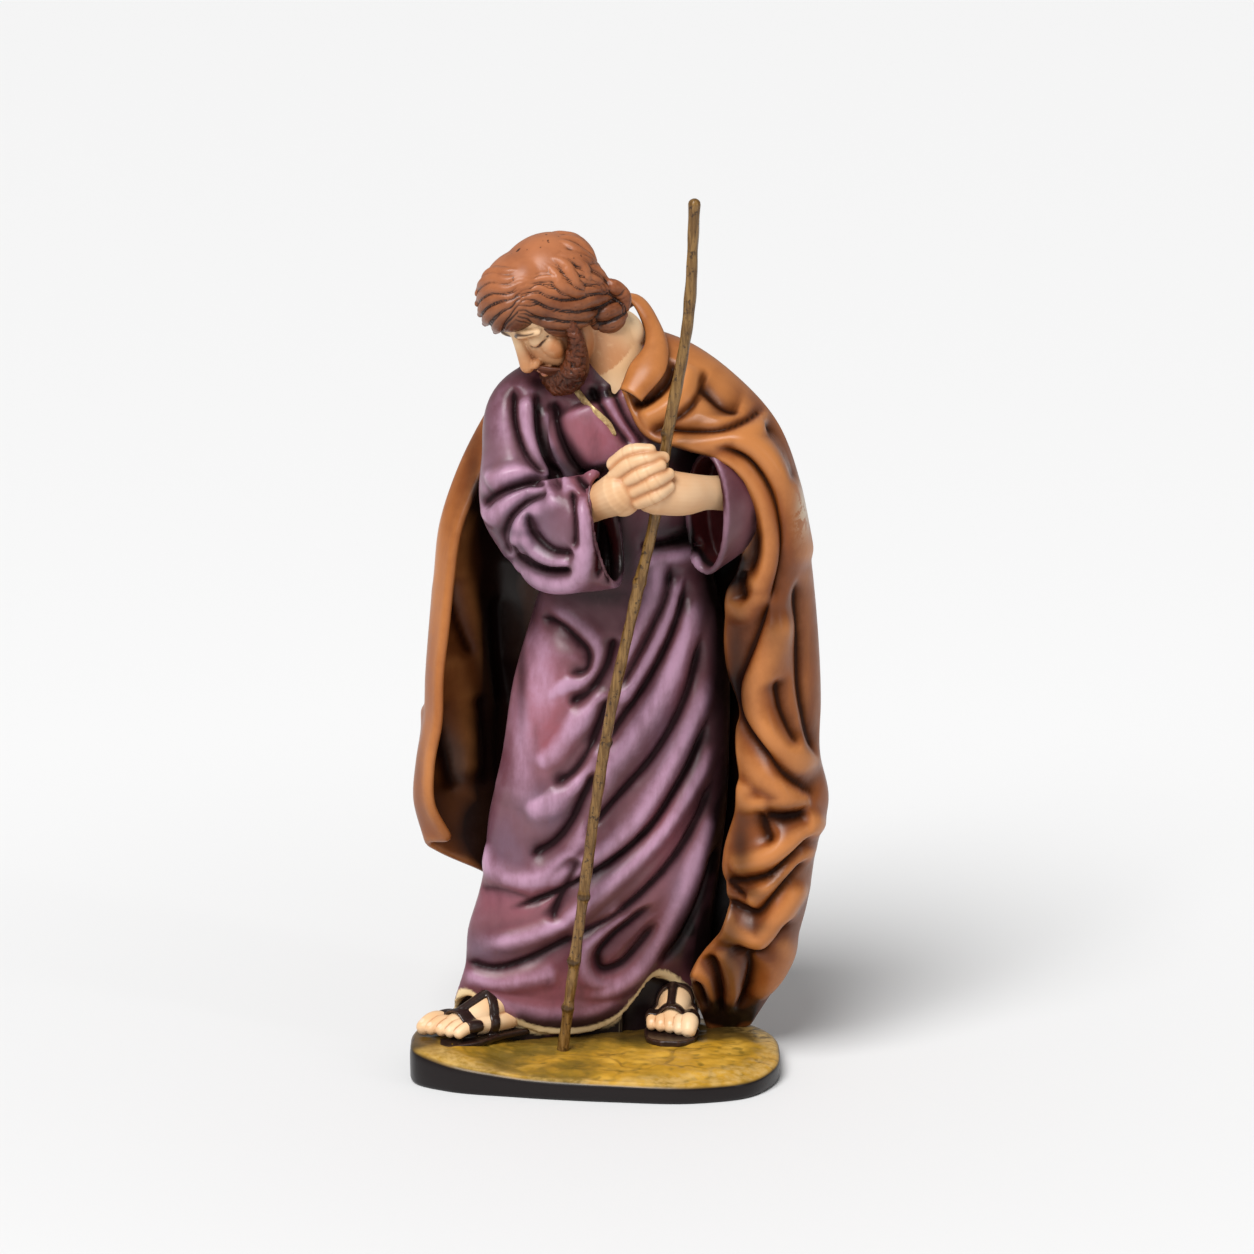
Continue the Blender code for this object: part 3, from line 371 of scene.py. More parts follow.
# Folds of the drapery: half width, how far each stands out (or cuts in), and its line (x, height)
skirtFolds = {
    "thigh": (12, 2.2, [(-18, 226), (-25, 206), (-33, 178), (-39, 152), (-42, 136)]),
    "hip pocket": (4.5, -3.6, [(-28, 233), (-18, 231), (-9, 224), (-3, 217), (-4, 209), (-14, 206)]),
    "hip roll": (4.5, 2.4, [(-24, 238), (-12, 232), (-4, 226), (1, 216), (-3, 207), (-15, 201), (-28, 190)]),
    "knee valley 1": (5.5, -3.8, [(10, 226), (7, 214), (2, 204), (-4, 196), (-14, 191)]),
    "knee valley 2": (5.5, -4.2, [(7, 196), (2, 180), (-4, 166), (-11, 156), (-22, 149)]),
    "knee valley 3": (5.5, -4.0, [(1, 158), (-6, 144), (-12, 130), (-20, 120), (-34, 112)]),
    "knee valley 4": (6, -3.2, [(-8, 112), (-14, 98), (-19, 87), (-22, 77)]),
    "knee roll 1": (5, 2.8, [(4, 200), (-4, 188), (-12, 178), (-22, 166), (-32, 158)]),
    "knee roll 2": (5, 3.0, [(2, 172), (-4, 160), (-12, 149), (-24, 140), (-36, 134)]),
    "knee roll 3": (5, 2.4, [(-2, 132), (-10, 118), (-22, 106), (-38, 99), (-54, 104)]),
    "long roll 1": (4.5, 2.6, [(33, 270), (31, 252), (26, 238), (18, 222), (11, 208)]),
    "long crease 1": (3.6, -3.6, [(38, 262), (36, 246), (29, 230), (21, 214), (12, 198)]),
    "long roll 2": (4.5, 3.0, [(41, 256), (38, 242), (31, 226), (22, 210), (11, 190)]),
    "long crease 2": (3.6, -4.0, [(46, 254), (42, 236), (34, 216), (25, 200), (14, 184), (4, 168)]),
    "long roll 3": (5.2, 3.6, [(50, 246), (46, 228), (40, 211), (31, 193), (20, 176), (6, 158), (-2, 146)]),
    "long crease 3": (4, -4.0, [(54, 226), (49, 202), (41, 182), (29, 163), (14, 146), (2, 132), (-8, 122)]),
    "long roll 4": (4.8, 3.6, [
        (56, 206), (51, 186), (43, 168), (31, 146), (18, 128), (4, 115), (-12, 105), (-30, 100),
    ]),
    "long crease 4": (3.8, -4.0, [
        (58, 184), (50, 162), (40, 144), (28, 126), (12, 112), (-4, 102), (-22, 92), (-44, 84),
    ]),
    "long roll 5": (4, 3.4, [
        (59, 171), (52, 153), (43, 138), (31, 121), (15, 104), (0, 91), (-16, 78), (-38, 69), (-62, 64),
    ]),
    "long crease 5": (4.2, -3.8, [(61, 150), (53, 130), (43, 112), (30, 96), (14, 82), (0, 74), (-14, 66)]),
    "long roll 6": (4.6, 3.4, [
        (60, 136), (55, 116), (49, 98), (41, 80), (32, 62), (24, 49), (10, 39), (-8, 36),
    ]),
    "long crease 6": (4, -3.6, [(63, 112), (58, 92), (51, 74), (42, 58), (33, 47)]),
    "loop crease": (4.6, -3.4, [(30, 84), (20, 76), (8, 67), (1, 57), (3, 50), (12, 51), (22, 60), (32, 74)]),
    "loop roll": (4, 2.6, [(16, 84), (4, 74), (-4, 62), (-5, 50), (2, 42), (14, 42)]),
    "calf crease 1": (5, -1.4, [(-60, 92), (-50, 94), (-38, 92), (-26, 84)]),
    "calf crease 2": (4.5, -3.6, [(-68, 54), (-52, 51), (-36, 56), (-20, 64), (-8, 70)]),
    "calf roll 2": (4.5, 2.6, [(-68, 48), (-50, 44), (-32, 47), (-18, 50)]),
    "calf bump": (5, 2.4, [(-60, 114), (-55, 106), (-46, 101)]),
    "hem roll": (4.5, 2.2, [(-60, 39), (-42, 30), (-22, 26), (-2, 27), (14, 35)]),
}
torsoFolds = {
    "shoulder crease 1": (4, -3.0, [(-40, 351), (-39, 335), (-34, 320), (-24, 307)]),
    "shoulder roll 1": (4.5, 2.4, [(-33, 347), (-32, 328), (-27, 314), (-22, 306)]),
    "shoulder crease 2": (3.8, -3.0, [(-28, 349), (-26, 325), (-22, 313), (-15, 304)]),
    "shoulder roll 2": (4, 2.0, [(-24, 341), (-22, 323), (-17, 312), (-8, 303)]),
    "chest crease": (5, -3.0, [(-20, 345), (-17, 327), (-10, 313), (1, 303)]),
    "chest fullness": (17, 4.0, [(-6, 343), (1, 325), (6, 311)]),
    "placket crease 1": (3.2, -2.2, [(-3, 352), (6, 338), (18, 322)]),
    "placket crease 2": (3, -2.0, [(8, 352), (14, 338), (25, 322)]),
    "placket roll": (3, 1.8, [(3, 351), (10, 338), (22, 322)]),
    "waist crease": (4, -3.0, [(22, 270), (38, 272), (54, 275)]),
    "waist roll": (5, 2.0, [(22, 264), (38, 266), (54, 268)]),
}
sleeveFolds = {
    "elbow roll 1": (4, 2.6, [(-21, 308), (-34, 310), (-45, 308), (-53, 303)]),
    "elbow crease 1": (4, -3.0, [(-23, 306), (-37, 304), (-49, 299), (-55, 292)]),
    "elbow roll 2": (4.5, 2.6, [(-22, 304), (-36, 300), (-46, 293), (-54, 285)]),
    "elbow crease 2": (4.5, -3.2, [(-21, 303), (-32, 298), (-41, 290), (-44, 279), (-40, 269)]),
    "elbow roll 3": (4.5, 2.4, [(-17, 303), (-27, 298), (-36, 289), (-39, 277), (-35, 268)]),
    "sag crease 1": (4, -2.8, [(-33, 294), (-30, 283), (-21, 275), (-9, 274)]),
    "sag roll 1": (4, 2.4, [(-36, 289), (-32, 277), (-22, 270), (-10, 270)]),
    "sag crease 2": (4.5, -3.2, [(-41, 278), (-35, 268), (-23, 264), (-10, 266)]),
    "sag roll 2": (5, 2.6, [(-41, 269), (-32, 260), (-22, 257), (-9, 261), (-5, 272), (-5, 290), (-8, 304)]),
    "cuff crease 1": (3.2, -2.8, [(-11, 306), (-9, 290), (-9, 277)]),
    "cuff crease 2": (3.4, -3.0, [(-2, 311), (1, 290), (2, 260)]),
    "cuff crease 3": (2.6, -2.0, [(3, 286), (6, 271), (7, 257)]),
}
cloakFolds = {
    "lapel shadow": (3, -3.4, [(18, 343), (27, 346), (36, 354), (40, 364)]),
    "second flap": (3.6, 2.4, [(22, 336), (32, 341), (43, 351), (47, 362)]),
    "flap crease": (3, -2.6, [(27, 330), (38, 337), (50, 348), (55, 360)]),
    "shoulder dimple": (6, -3.0, [(52, 353), (62, 345), (73, 341)]),
    "shoulder crease 1": (4.5, -4.0, [(32, 333), (47, 332), (61, 333), (74, 337), (87, 341)]),
    "shoulder roll 1": (5, 3.0, [(34, 327), (52, 328), (69, 332), (88, 337)]),
    "shoulder crease 2": (5, -3.2, [(82, 336), (91, 329), (97, 316), (100, 304)]),
    "arm roll 1": (6, 3.4, [(61, 329), (73, 325), (86, 314), (95, 298), (102, 280), (107, 260)]),
    "arm crease 1": (5, -4.2, [(59, 325), (74, 319), (85, 304), (91, 286), (93, 270), (86, 243)]),
    "arm roll 2": (5, 3.4, [(57, 323), (71, 315), (82, 299), (86, 281), (84, 262), (78, 245)]),
    "arm crease 2": (5, -3.0, [(63, 314), (72, 302), (78, 286), (79, 269), (75, 256)]),
    "arm roll 3": (4.5, 3.0, [(60, 319), (67, 309), (72, 293), (75, 276), (72, 264)]),
    "pouch": (5, -3.0, [(73, 261), (72, 252), (74, 245)]),
    "pouch lip": (4, 2.6, [(67, 256), (68, 245), (73, 239), (79, 245), (80, 254)]),
    "s crease": (6, -5.0, [
        (88, 250), (80, 231), (74, 214), (70, 199), (72, 185), (81, 172), (93, 160), (105, 150), (113, 143),
    ]),
    "s roll": (7, 4.0, [(93, 243), (85, 220), (77, 202), (78, 188), (87, 175), (98, 164), (112, 153)]),
    "s dimple": (7, -3.0, [(90, 207), (94, 190), (102, 171)]),
    "side crease": (4.5, -3.2, [(101, 257), (103, 226), (104, 200), (108, 179), (112, 160)]),
    "elbow swag": (7, 3.4, [(70, 186), (76, 168), (84, 159), (95, 152), (108, 146)]),
    "pocket top": (4.5, 3.4, [(74, 154), (76, 142), (87, 141), (99, 143), (109, 141)]),
    "pocket": (6, -4.6, [(84, 137), (95, 136), (107, 136)]),
    "pocket side": (5, -3.6, [(83, 139), (85, 128), (89, 122)]),
    "pocket lip": (5, 4.2, [(67, 106), (78, 110), (89, 115), (99, 122), (107, 128), (115, 134)]),
    "lower crease 1": (4, -4.6, [(64, 99), (76, 102), (88, 106), (99, 115), (109, 125)]),
    "lower roll 1": (4.6, 3.6, [(76, 86), (83, 94), (93, 103), (103, 113), (107, 121)]),
    "lower nook": (3.6, -3.6, [(66, 101), (71, 95), (77, 92)]),
    "lower crease 2": (4.2, -4.6, [(64, 91), (73, 86), (81, 85), (88, 92), (96, 101), (107, 112)]),
    "lower roll 2": (4.8, 3.8, [(63, 88), (67, 76), (76, 70), (83, 69), (89, 76), (95, 86), (105, 100)]),
    "lower crease 3": (4.6, -4.0, [(68, 66), (76, 62), (86, 61), (92, 68), (99, 80)]),
    "hem roll 1": (5, 3.2, [(90, 70), (96, 60), (93, 46), (82, 28)]),
    "hem crease 1": (4.6, -4.2, [(76, 64), (80, 52), (78, 36), (72, 20)]),
    "hem roll 2": (3.4, 3.4, [(63, 64), (68, 54), (70, 40), (67, 20)]),
    "hem crease 2": (3.4, -4.0, [(58, 60), (61, 48), (64, 34), (64, 18)]),
    "corner roll": (3.4, 3.2, [(47, 44), (51, 49), (56, 46), (60, 34), (61, 18)]),
    "corner crease": (3, -3.2, [(51, 42), (54, 36), (57, 26)]),
}
liningFolds = {
    "rim roll": (5, 2.4, [
        (-59, 312), (-69, 282), (-75, 261), (-69, 236), (-63, 213), (-58, 190), (-56, 166),
    ]),
    "rim crease": (5, -2.6, [(-79, 251), (-76, 230), (-68, 205)]),
    "wall roll 1": (6, 2.8, [(-82, 213), (-76, 193), (-70, 166), (-68, 141)]),
    "wall crease 1": (6, -3.0, [(-87, 187), (-81, 161), (-76, 135)]),
    "wall crease 2": (6, -3.0, [(-65, 186), (-62, 160), (-61, 134)]),
    "wall crease 3": (6, -3.0, [(-52, 237), (-50, 206), (-49, 175)]),
    "wall roll 2": (5, 2.4, [(-46, 258), (-44, 227), (-46, 196)]),
}


# Tunic: body, skirt and both sleeves are one skin

tunicSizes = {
    "grid": 1.05,
    "softening": 3,
    "foldDepth": 1.3,
    "rearmost": 30,
    "triangles": 190000,
    "hemBand": 4.2,
    "wall": 3.6,
    "low": 4,
    "high": 371,
    "rearHem": 15,
}
# The skirt's plan: an oval whose right side stands further back
skirtPlan = {"centre": -9.5, "half": 64.5, "depth": 19, "rear": 31, "skew": 14.2}


# The hem's height across the front, which arches over the left foot
hemLine = [
    (-75, 30), (-67, 35), (-55, 28), (-41, 20), (-27, 15), (-13, 13.5), (1, 15), (12, 20), (20.5, 29),
    (29, 39.5), (37, 39.5), (46, 31), (57, 19), (70, 14),
]


def hemHeight(x, front):
    # The hem's height at x, and on the front (1) or the back (0) of the skirt
    keys = np.array(hemLine, float)
    low = smooth(keys[:, 0], keys[:, 1], np.clip(x, -75, 70).ravel()).reshape(x.shape)
    return tunicSizes["rearHem"] + (low - tunicSizes["rearHem"]) * front


def tunicBody():
    # height, left, right, front, back, how far the right side stands further back
    sections = np.array([
        (4, -74, 55, 12, 50, 0.22), (18, -69, 57, 9, 50, 0.22), (60, -65, 60, 1, 50, 0.20),
        (100, -57, 64, -4, 50, 0.16), (130, -54, 67, -7, 50, 0.12), (160, -47, 68, -8, 51, 0.10),
        (200, -41, 68, -8, 51, 0.05), (235, -31, 64, -7, 51, 0.0), (262, -24, 58, -6, 50, 0.0),
        (285, -28, 58, -10, 50, 0.0), (310, -36, 62, -14, 48, 0.0), (335, -41, 64, -13, 44, 0.0),
        (350, -38, 60, -8, 40, 0.0), (362, -20, 42, -4, 34, 0.0), (371, -6, 26, -2, 28, 0.0),
    ], float)
    base = tunicSizes["low"]
    height = np.linspace(base, tunicSizes["high"], 150)
    left, right, front, back, skew = smooth(sections[:, 0], sections[:, 1:], height).T
    turn = circle(160)
    wide, deep = squared(np.cos(turn), 0.9), squared(np.sin(turn), 0.9)
    x = ((left + right) / 2)[:, None] + ((right - left) / 2)[:, None] * wide
    y = ((front + back) / 2)[:, None] + ((back - front) / 2)[:, None] * deep
    y = y + (skew * (right - left) / 2)[:, None] * wide
    hem = hemHeight(x, eased(-0.3, 0.3, -deep))
    z = height[:, None] + (hem - base) * (1 - eased(base, 110, height))[:, None]
    skirt = np.stack([x, y, z], -1)
    lowest = skirt[0]
    inward = lowest.mean(0) - lowest
    inward[:, 2] = 0
    inward = sized(inward)
    deeper = 5 + 9 * eased(24, 40, lowest[:, 2:])
    lip = lowest + inward * 2.5
    coreTop = lowest + inward * deeper + (0, 0, 3)
    coreLow = coreTop.copy()
    coreLow[:, 2] = base
    return loft(np.concatenate([[coreLow, coreTop, lip], skirt]))


def sleeve(points, heights, flat, wall, mouth, lean=0.0):
    # A hanging oval along a curve, hollowed at its far end
    count = 40
    path = along(points, count)
    tall = spreadOut(heights, count)
    tangent = sized(np.gradient(path, axis=0))
    side = sized(np.cross(tangent, (0.0, 0.0, 1.0)))
    turn = circle(60)[:, None]
    wide, high = np.cos(turn), np.array((0, 0, 1.0)) * np.sin(turn)
    rings = [p + r * (flat * s * wide + high) for p, s, r in zip(path, side, tall)]
    p, s, r, t = path[-1], side[-1], tall[-1], tangent[-1]
    for inset, back in ((wall * 0.3, -wall * 0.3), (wall * 0.7, -wall * 0.3), (wall, 0), (wall * 1.1, mouth)):
        rings.append(p - t * back + flat * s * wide * (r - inset / flat) + high * (r - inset))
    rings = np.array(rings)
    # The mouth leans, so that its top lies further back along the arm
    share = eased(0, 1, np.minimum(np.arange(len(rings)) / (count - 1), 1.0))[:, None]
    rings[:, :, 0] -= lean * share * (rings[:, :, 2] - rings[:, :, 2].mean(1, keepdims=True))
    return loft(rings)


rightCuff = [(-36, -4, 288), (-26, -18, 280), (-9, -30, 281), (6, -36, 284)]
leftCuff = [(86, 14, 305), (76, -8, 298), (55, -27, 291)]


def tunicForms():
    shoulder = [(-22, 14, 350), (-35, 6, 338), (-38, 0, 314), (-36, -8, 292), (-28, -16, 282)]
    return [
        tunicBody(),
        tube(shoulder, [15, 18, 18, 20, 22], 40, 40),
        sleeve(rightCuff, [16, 26, 28.5, 28.5], 0.62, tunicSizes["wall"], 12, 0.2),
        sleeve(leftCuff, [20, 26, 31], 0.5, tunicSizes["wall"], 12),
    ]


def insideCuff(points, normals, cuff, wide, tall):
    # 1 on what lies inside a sleeve's mouth and faces inwards
    mouth, back = np.array(cuff[-1], float), np.array(cuff[-2], float)
    way = sized(mouth - back)
    ahead = (points - mouth) @ way
    aside = points - mouth - ahead[:, None] * way
    share = (np.hypot(aside[:, 0], aside[:, 1]) / wide) ** 2 + (aside[:, 2] / tall) ** 2
    inwards = (normals * aside).sum(1) / (np.linalg.norm(aside, axis=1) + 1e-6)
    facing = np.maximum(eased(0.3, -0.3, inwards), eased(0.5, 0.8, normals @ way))
    return eased(1.05, 0.85, share) * eased(-18, -15, ahead) * eased(1.5, -1.0, ahead) * facing


def makeTunic(cloth):
    made = fused(meshObject("tunic", joined(tunicForms())), tunicSizes["grid"], tunicSizes["softening"])
    points, normals, _ = readAll(made)
    front = eased(0.0, 0.35, -normals[:, 1]) * eased(0, 10, tunicSizes["rearmost"] - points[:, 1])
    upper = {**torsoFolds, **sleeveFolds}
    folds = {name: (0.88 * wide, high, line) for name, (wide, high, line) in skirtFolds.items()}
    folds.update({name: (0.8 * wide, 1.5 * high, line) for name, (wide, high, line) in upper.items()})
    lift = foldField(points, front, folds, tunicSizes["foldDepth"])[0]
    writePoints(made, relaxed(points + normals * lift[:, None], readEdges(made), 2))
    thinned(made, tunicSizes["triangles"])
    points, normals, ends = readAll(made)
    facing = -normals[:, 1]
    front = eased(-0.1, 0.3, facing) * eased(0, 10, tunicSizes["rearmost"] - points[:, 1])
    _, wash, tone = foldField(points, front, folds, 1)
    # Which side of the skirt a point lies on, 1 in front and 0 behind, from its place alone
    plan = skirtPlan
    side = (points[:, 0] - plan["centre"]) / plan["half"]
    middle = plan["rear"] + plan["skew"] * side
    ahead = eased(-0.3, 0.3, (middle - points[:, 1]) / plan["depth"])
    hem = points[:, 2] - hemHeight(points[:, 0], ahead)
    low = eased(64, 56, points[:, 2])
    outerY = middle - plan["depth"] * np.sqrt(np.clip(1 - side**2, 0, 1))
    core = eased(3.0, 4.5, points[:, 1] - outerY) * (ahead > 0.5) * eased(8, 5, hem)
    band = eased(tunicSizes["hemBand"] + 0.4, tunicSizes["hemBand"] - 0.4, hem) * eased(-2.2, -1.2, hem)
    band = band * low * (1 - core) * eased(13.5, 14.5, points[:, 2]) * eased(0.3, 0.6, facing)
    # Painted shade: patches where shade falls beside the sleeves, hands and cloak, and black under the hem
    # and on the skirt's core behind it
    shade = blots(points, tunicShade) * eased(-0.2, 0.2, facing)
    shade = np.maximum(shade, np.maximum(low * eased(-1.2, -2.2, hem), core))
    inside = insideCuff(points, normals, leftCuff, 15.5, 31) + insideCuff(points, normals, rightCuff, 16, 26)
    # Marks for the paint: the folds' dark wash and painted shade, how far places stand out and how shut in
    # they are for painted highlight and painted shade, and patches of painted highlight (lit) and painted
    # shade (shade)
    keepAll(
        made,
        wash=wash,
        relief=np.clip(tone / 3.2, -1, 1),
        hollow=hollowness(points, normals, ends),
        raised=raisedBy(made, 22, 0.8),
        pink=blots(points, tunicPink),
        grey=blots(points, tunicGrey),
        lit=blots(points, tunicLit) * eased(-0.2, 0.3, facing),
        band=band,
        shade=shade,
        inside=np.clip(inside, 0, 1),
    )
    return finished(made, cloth)


# Cloak: one sheet from the neck over both shoulders and round the back

cloakSizes = {
    "rows": 232,
    "columns": 200,
    "foldDepth": 1.55,
    "liningDepth": 1.3,
    "thickness": 5.0,
    "flutes": 4.2,
    "rim": 3,
}


# Each rib runs from the neck to the hem: front edge, round the left arm, back, right side
cloakRibs = [
    [
        (14, -10, 352), (26, -22, 330), (46, -30, 324), (70, -30, 314), (77, -22, 282), (67, -10, 248),
        (65, -4, 212), (71, -4, 182), (73, -8, 146), (65, -8, 110), (68, -8, 82), (50, 9, 45), (60, 30, 10),
    ],
    [
        (21, -4, 362), (38, -20, 344), (60, -32, 331), (84, -32, 310), (91, -28, 278), (85, -24, 240),
        (82, -20, 208), (85, -20, 176), (94, -20, 142), (90, -18, 112), (88, -14, 82), (78, 2, 48),
        (70, 34, 10),
    ],
    [
        (22, 12, 376), (47, 8, 369), (71, 4, 353), (91, 2, 331), (101.5, 2, 304), (107, 4, 268),
        (111, 6, 230), (113.5, 8, 190), (113.5, 8, 160), (118, 8, 139), (112, 10, 112), (107.5, 12, 82),
        (97, 20, 46), (80, 34, 12),
    ],
    [
        (16, 26, 380), (41, 32, 370), (64, 38, 349), (82, 42, 320), (92, 44, 286), (97, 46, 250),
        (99, 48, 212), (100, 48, 174), (101, 48, 138), (99, 48, 106), (94, 48, 76), (88, 46, 44),
        (82, 42, 14),
    ],
    [
        (2, 32, 381), (6, 46, 367), (9, 54, 346), (10, 58, 318), (10, 60, 286), (9, 61, 250), (8, 62, 212),
        (6, 63, 174), (4, 62, 142), (2, 61, 114), (0, 60, 86), (0, 58, 60), (0, 56, 36),
    ],
    [
        (-9, 26, 377), (-21, 38, 363), (-33, 44, 347), (-43, 48, 324), (-51, 51, 295), (-55, 54, 264),
        (-57, 56, 232), (-58, 57, 200), (-58, 56, 172), (-57, 54, 148), (-55, 52, 126), (-52, 50, 106),
        (-48, 48, 86),
    ],
    [
        (-13, 20, 373), (-33, 26, 361), (-47, 26, 346), (-58, 24, 328), (-69.5, 20, 304), (-78, 17, 278),
        (-81, 15, 252), (-83.5, 13, 226), (-85.5, 12, 202), (-86.5, 12, 180), (-90.5, 13, 158),
        (-92, 15, 137), (-86, 20, 114),
    ],
    [
        (-11, 14, 371), (-31, 16, 358), (-43, 15, 344), (-51, 12, 325), (-60, 8, 302), (-70, 4, 278),
        (-74, 2, 254), (-77, 0, 228), (-80, 0, 204), (-81, 0, 180), (-85, 2, 158), (-85, 5, 136),
        (-76, 11, 116),
    ],
]


def sheetNormals(surface):
    normal = np.cross(np.gradient(surface, axis=0), np.gradient(surface, axis=1))
    return normal / (np.linalg.norm(normal, axis=2, keepdims=True) + 1e-12)


def rolledShell(outer, inner, rim):
    # A closed form between two sheets of points, with a rolled rim all round
    rows, columns, _ = outer.shape
    count = rows * columns
    grid = np.arange(count).reshape(rows, columns)
    border = np.concatenate([grid[0], grid[1:, -1], grid[-1, -2::-1], grid[-2:0:-1, 0]])
    out, back = outer.reshape(-1, 3), inner.reshape(-1, 3)
    middle = (out[border] + back[border]) / 2
    inside = np.clip(np.stack([border // columns, border % columns], 1), 1, (rows - 2, columns - 2))
    away = middle - (out + back)[inside[:, 0] * columns + inside[:, 1]] / 2
    away /= np.linalg.norm(away, axis=1, keepdims=True) + 1e-9
    half = np.linalg.norm(out[border] - back[border], axis=1, keepdims=True) / 2
    turns = np.linspace(0, math.pi, rim + 2)[1:-1]
    loops = [middle + (out[border] - middle) * math.cos(t) + away * half * math.sin(t) for t in turns]
    faces = gridFaces(rows, columns, False)
    faces += [[i + count for i in reversed(q)] for q in faces]
    rounds = 2 * count + np.arange(rim * len(border)).reshape(rim, -1)
    chain = [border, *rounds, border + count]
    for near, far in zip(chain, chain[1:]):
        quads = np.stack([np.roll(near, -1), near, far, np.roll(far, -1)], 1)
        faces += quads.tolist()
    return outward(np.concatenate([out, back] + loops), faces)


def makeCloak(wool):
    sizes = cloakSizes
    rows, columns = sizes["rows"], sizes["columns"]
    ribs = np.array([along(rib, rows) for rib in cloakRibs])
    # Columns lie closer where folds are carved: on the left arm and the right wing
    dense = np.array([(0, 0), (0.56, 0.40), (0.80, 0.72), (1, 1)])
    over = smooth(dense[:, 0], dense[:, 1], np.linspace(0, 1, columns))
    fine = np.array([along(ribs[:, r], 600) for r in range(rows)])
    surface = fine[:, np.round(over * 599).astype(int)]
    down, across = np.linspace(0, 1, rows)[:, None], over[None, :]
    behind = eased(0.36, 0.5, across) * eased(0, 0.12, 0.94 - across) * eased(0.12, 0.6, down)
    wave = np.sin(2 * math.pi * (5.5 * across + 0.22 * np.sin(4 * down + 5 * across)))
    wave += 0.4 * np.sin(2 * math.pi * (9.5 * across + 0.3 * down))
    normals = sheetNormals(surface)
    flat, facing = surface.reshape(-1, 3), normals.reshape(-1, 3)[:, 1]
    front = eased(0.0, 0.35, -facing) * eased(26, 16, flat[:, 1])
    lining = eased(0.0, 0.35, facing) * eased(-20, -44, flat[:, 0])
    lift, wash, tone = foldField(flat, front, cloakFolds, sizes["foldDepth"])
    sink, innerWashAndShade, innerTone = foldField(flat, lining, liningFolds, sizes["liningDepth"])
    offset = sizes["flutes"] * wave * behind + (lift - sink).reshape(rows, columns)
    outer = surface + normals * offset[:, :, None]
    inner = outer - normals * sizes["thickness"]
    made = meshObject("cloak", rolledShell(outer, inner, sizes["rim"]))
    writePoints(made, relaxed(readPoints(made), readEdges(made), 2))
    points, facing, ends = readAll(made)
    count = rows * columns
    lining, sheetWashAndShade, form = (np.zeros(len(points)) for _ in range(3))
    lining[count:2 * count], lining[2 * count:] = 1, 0.35
    sheetWashAndShade[:count], sheetWashAndShade[count:2 * count] = wash, innerWashAndShade
    form[:count], form[count:2 * count] = tone / 3.2, innerTone / 3.0
    form[:count] += 0.7 * (wave * behind).ravel()
    # Marks for the paint: the folds' dark wash and painted shade, how far places stand out and how shut in
    # they are for painted highlight and painted shade, patches of painted shade (shade) and of painted
    # highlight (glow, lit), and wear
    keepAll(
        made,
        lining=lining,
        wash=sheetWashAndShade,
        relief=np.clip(form, -1, 1),
        hollow=hollowness(points, facing, ends),
        raised=raisedBy(made, 14, 0.8),
        shade=blots(points, cloakShade) * eased(-0.2, 0.3, -facing[:, 1]),
        glow=blots(points, cloakGlow),
        worn=blots(points, cloakWorn),
        lit=blots(points, cloakLit),
    )
    return finished(made, wool)


collarSizes = {"thick": 1.7, "dome": 2.2}
collarInner = [
    (-22, 14, 364), (-14, 22, 375), (-2, 26, 383), (16, 18, 391.5), (23.5, 8, 381), (24.5, -2, 371),
    (17, -10, 361.5), (13, -16, 352),
]
collarOuter = [
    (-26, 26, 356), (-16, 36, 365), (4, 42, 373), (23, 27, 388), (32, 13, 379), (36.5, -4, 367.5),
    (34.5, -14, 358.5), (24, -21, 346.5),
]


def strap(inner, outer, thick, dome, count=90, sides=44):
    # A closed flat band between two edges, domed across
    near, far = along(inner, count), along(outer, count)
    middle, half = (near + far) / 2, (far - near) / 2
    tangent = np.gradient(middle, axis=0)
    up = sized(np.cross(tangent, half))
    turn = circle(sides)[:, None]
    across, high = squared(np.cos(turn), 0.6), squared(np.sin(turn), 0.8)
    arch = dome * (1 - across**2)
    rings = [m + h * across + u * (thick * high + arch) for m, h, u in zip(middle, half, up)]
    m, h, u = middle[-1], half[-1], up[-1]
    way = sized(tangent[-1])
    for share in (0.9, 0.6):
        out = way * thick * math.sqrt(1 - share**2)
        rings.append(m + out + h * across * (0.97 + 0.03 * share) + u * (thick * high * share + arch))
    return loft(np.array(rings))


def makeCollar(wool):
    made = meshObject("collar", strap(collarInner, collarOuter, collarSizes["thick"], collarSizes["dome"]))
    points, facing, ends = readAll(made)
    # Even all over: painted highlight (lit, glow) at a middling strength, and no dark wash, painted shade or
    # wear
    even = {"lining": 0.0, "wash": 0.0, "shade": 0.0, "worn": 0.0, "relief": 0.0, "lit": 0.5, "glow": 0.6}
    keepAll(made, **{name: np.full(len(points), value) for name, value in even.items()})
    keepAll(made, hollow=hollowness(points, facing, ends), raised=raisedBy(made, 14, 0.8))
    return finished(made, wool)


# Head, in its own upright frame: x its right, y its front, z up

headSizes = {
    "centre": (-21.5, -8.0, 388.0),
    "look": 60,
    "bow": 45,
    "scale": 0.95,
    "grid": 0.5,
    "softening": 3,
    "triangles": 100000,
}


def headTurn():
    look = Matrix.Rotation(math.radians(180 - headSizes["look"]), 3, "Z")
    return np.array(look @ Matrix.Rotation(math.radians(-headSizes["bow"]), 3, "X"))


def onHead(form):
    points, faces = form
    return points * headSizes["scale"] @ headTurn().T + headSizes["centre"], faces


def pathOnHead(line):
    return onHead((np.array(line), []))[0]


def inHead(points):
    # Points of the figure in the head's own frame
    return (points - headSizes["centre"]) @ headTurn() / headSizes["scale"]


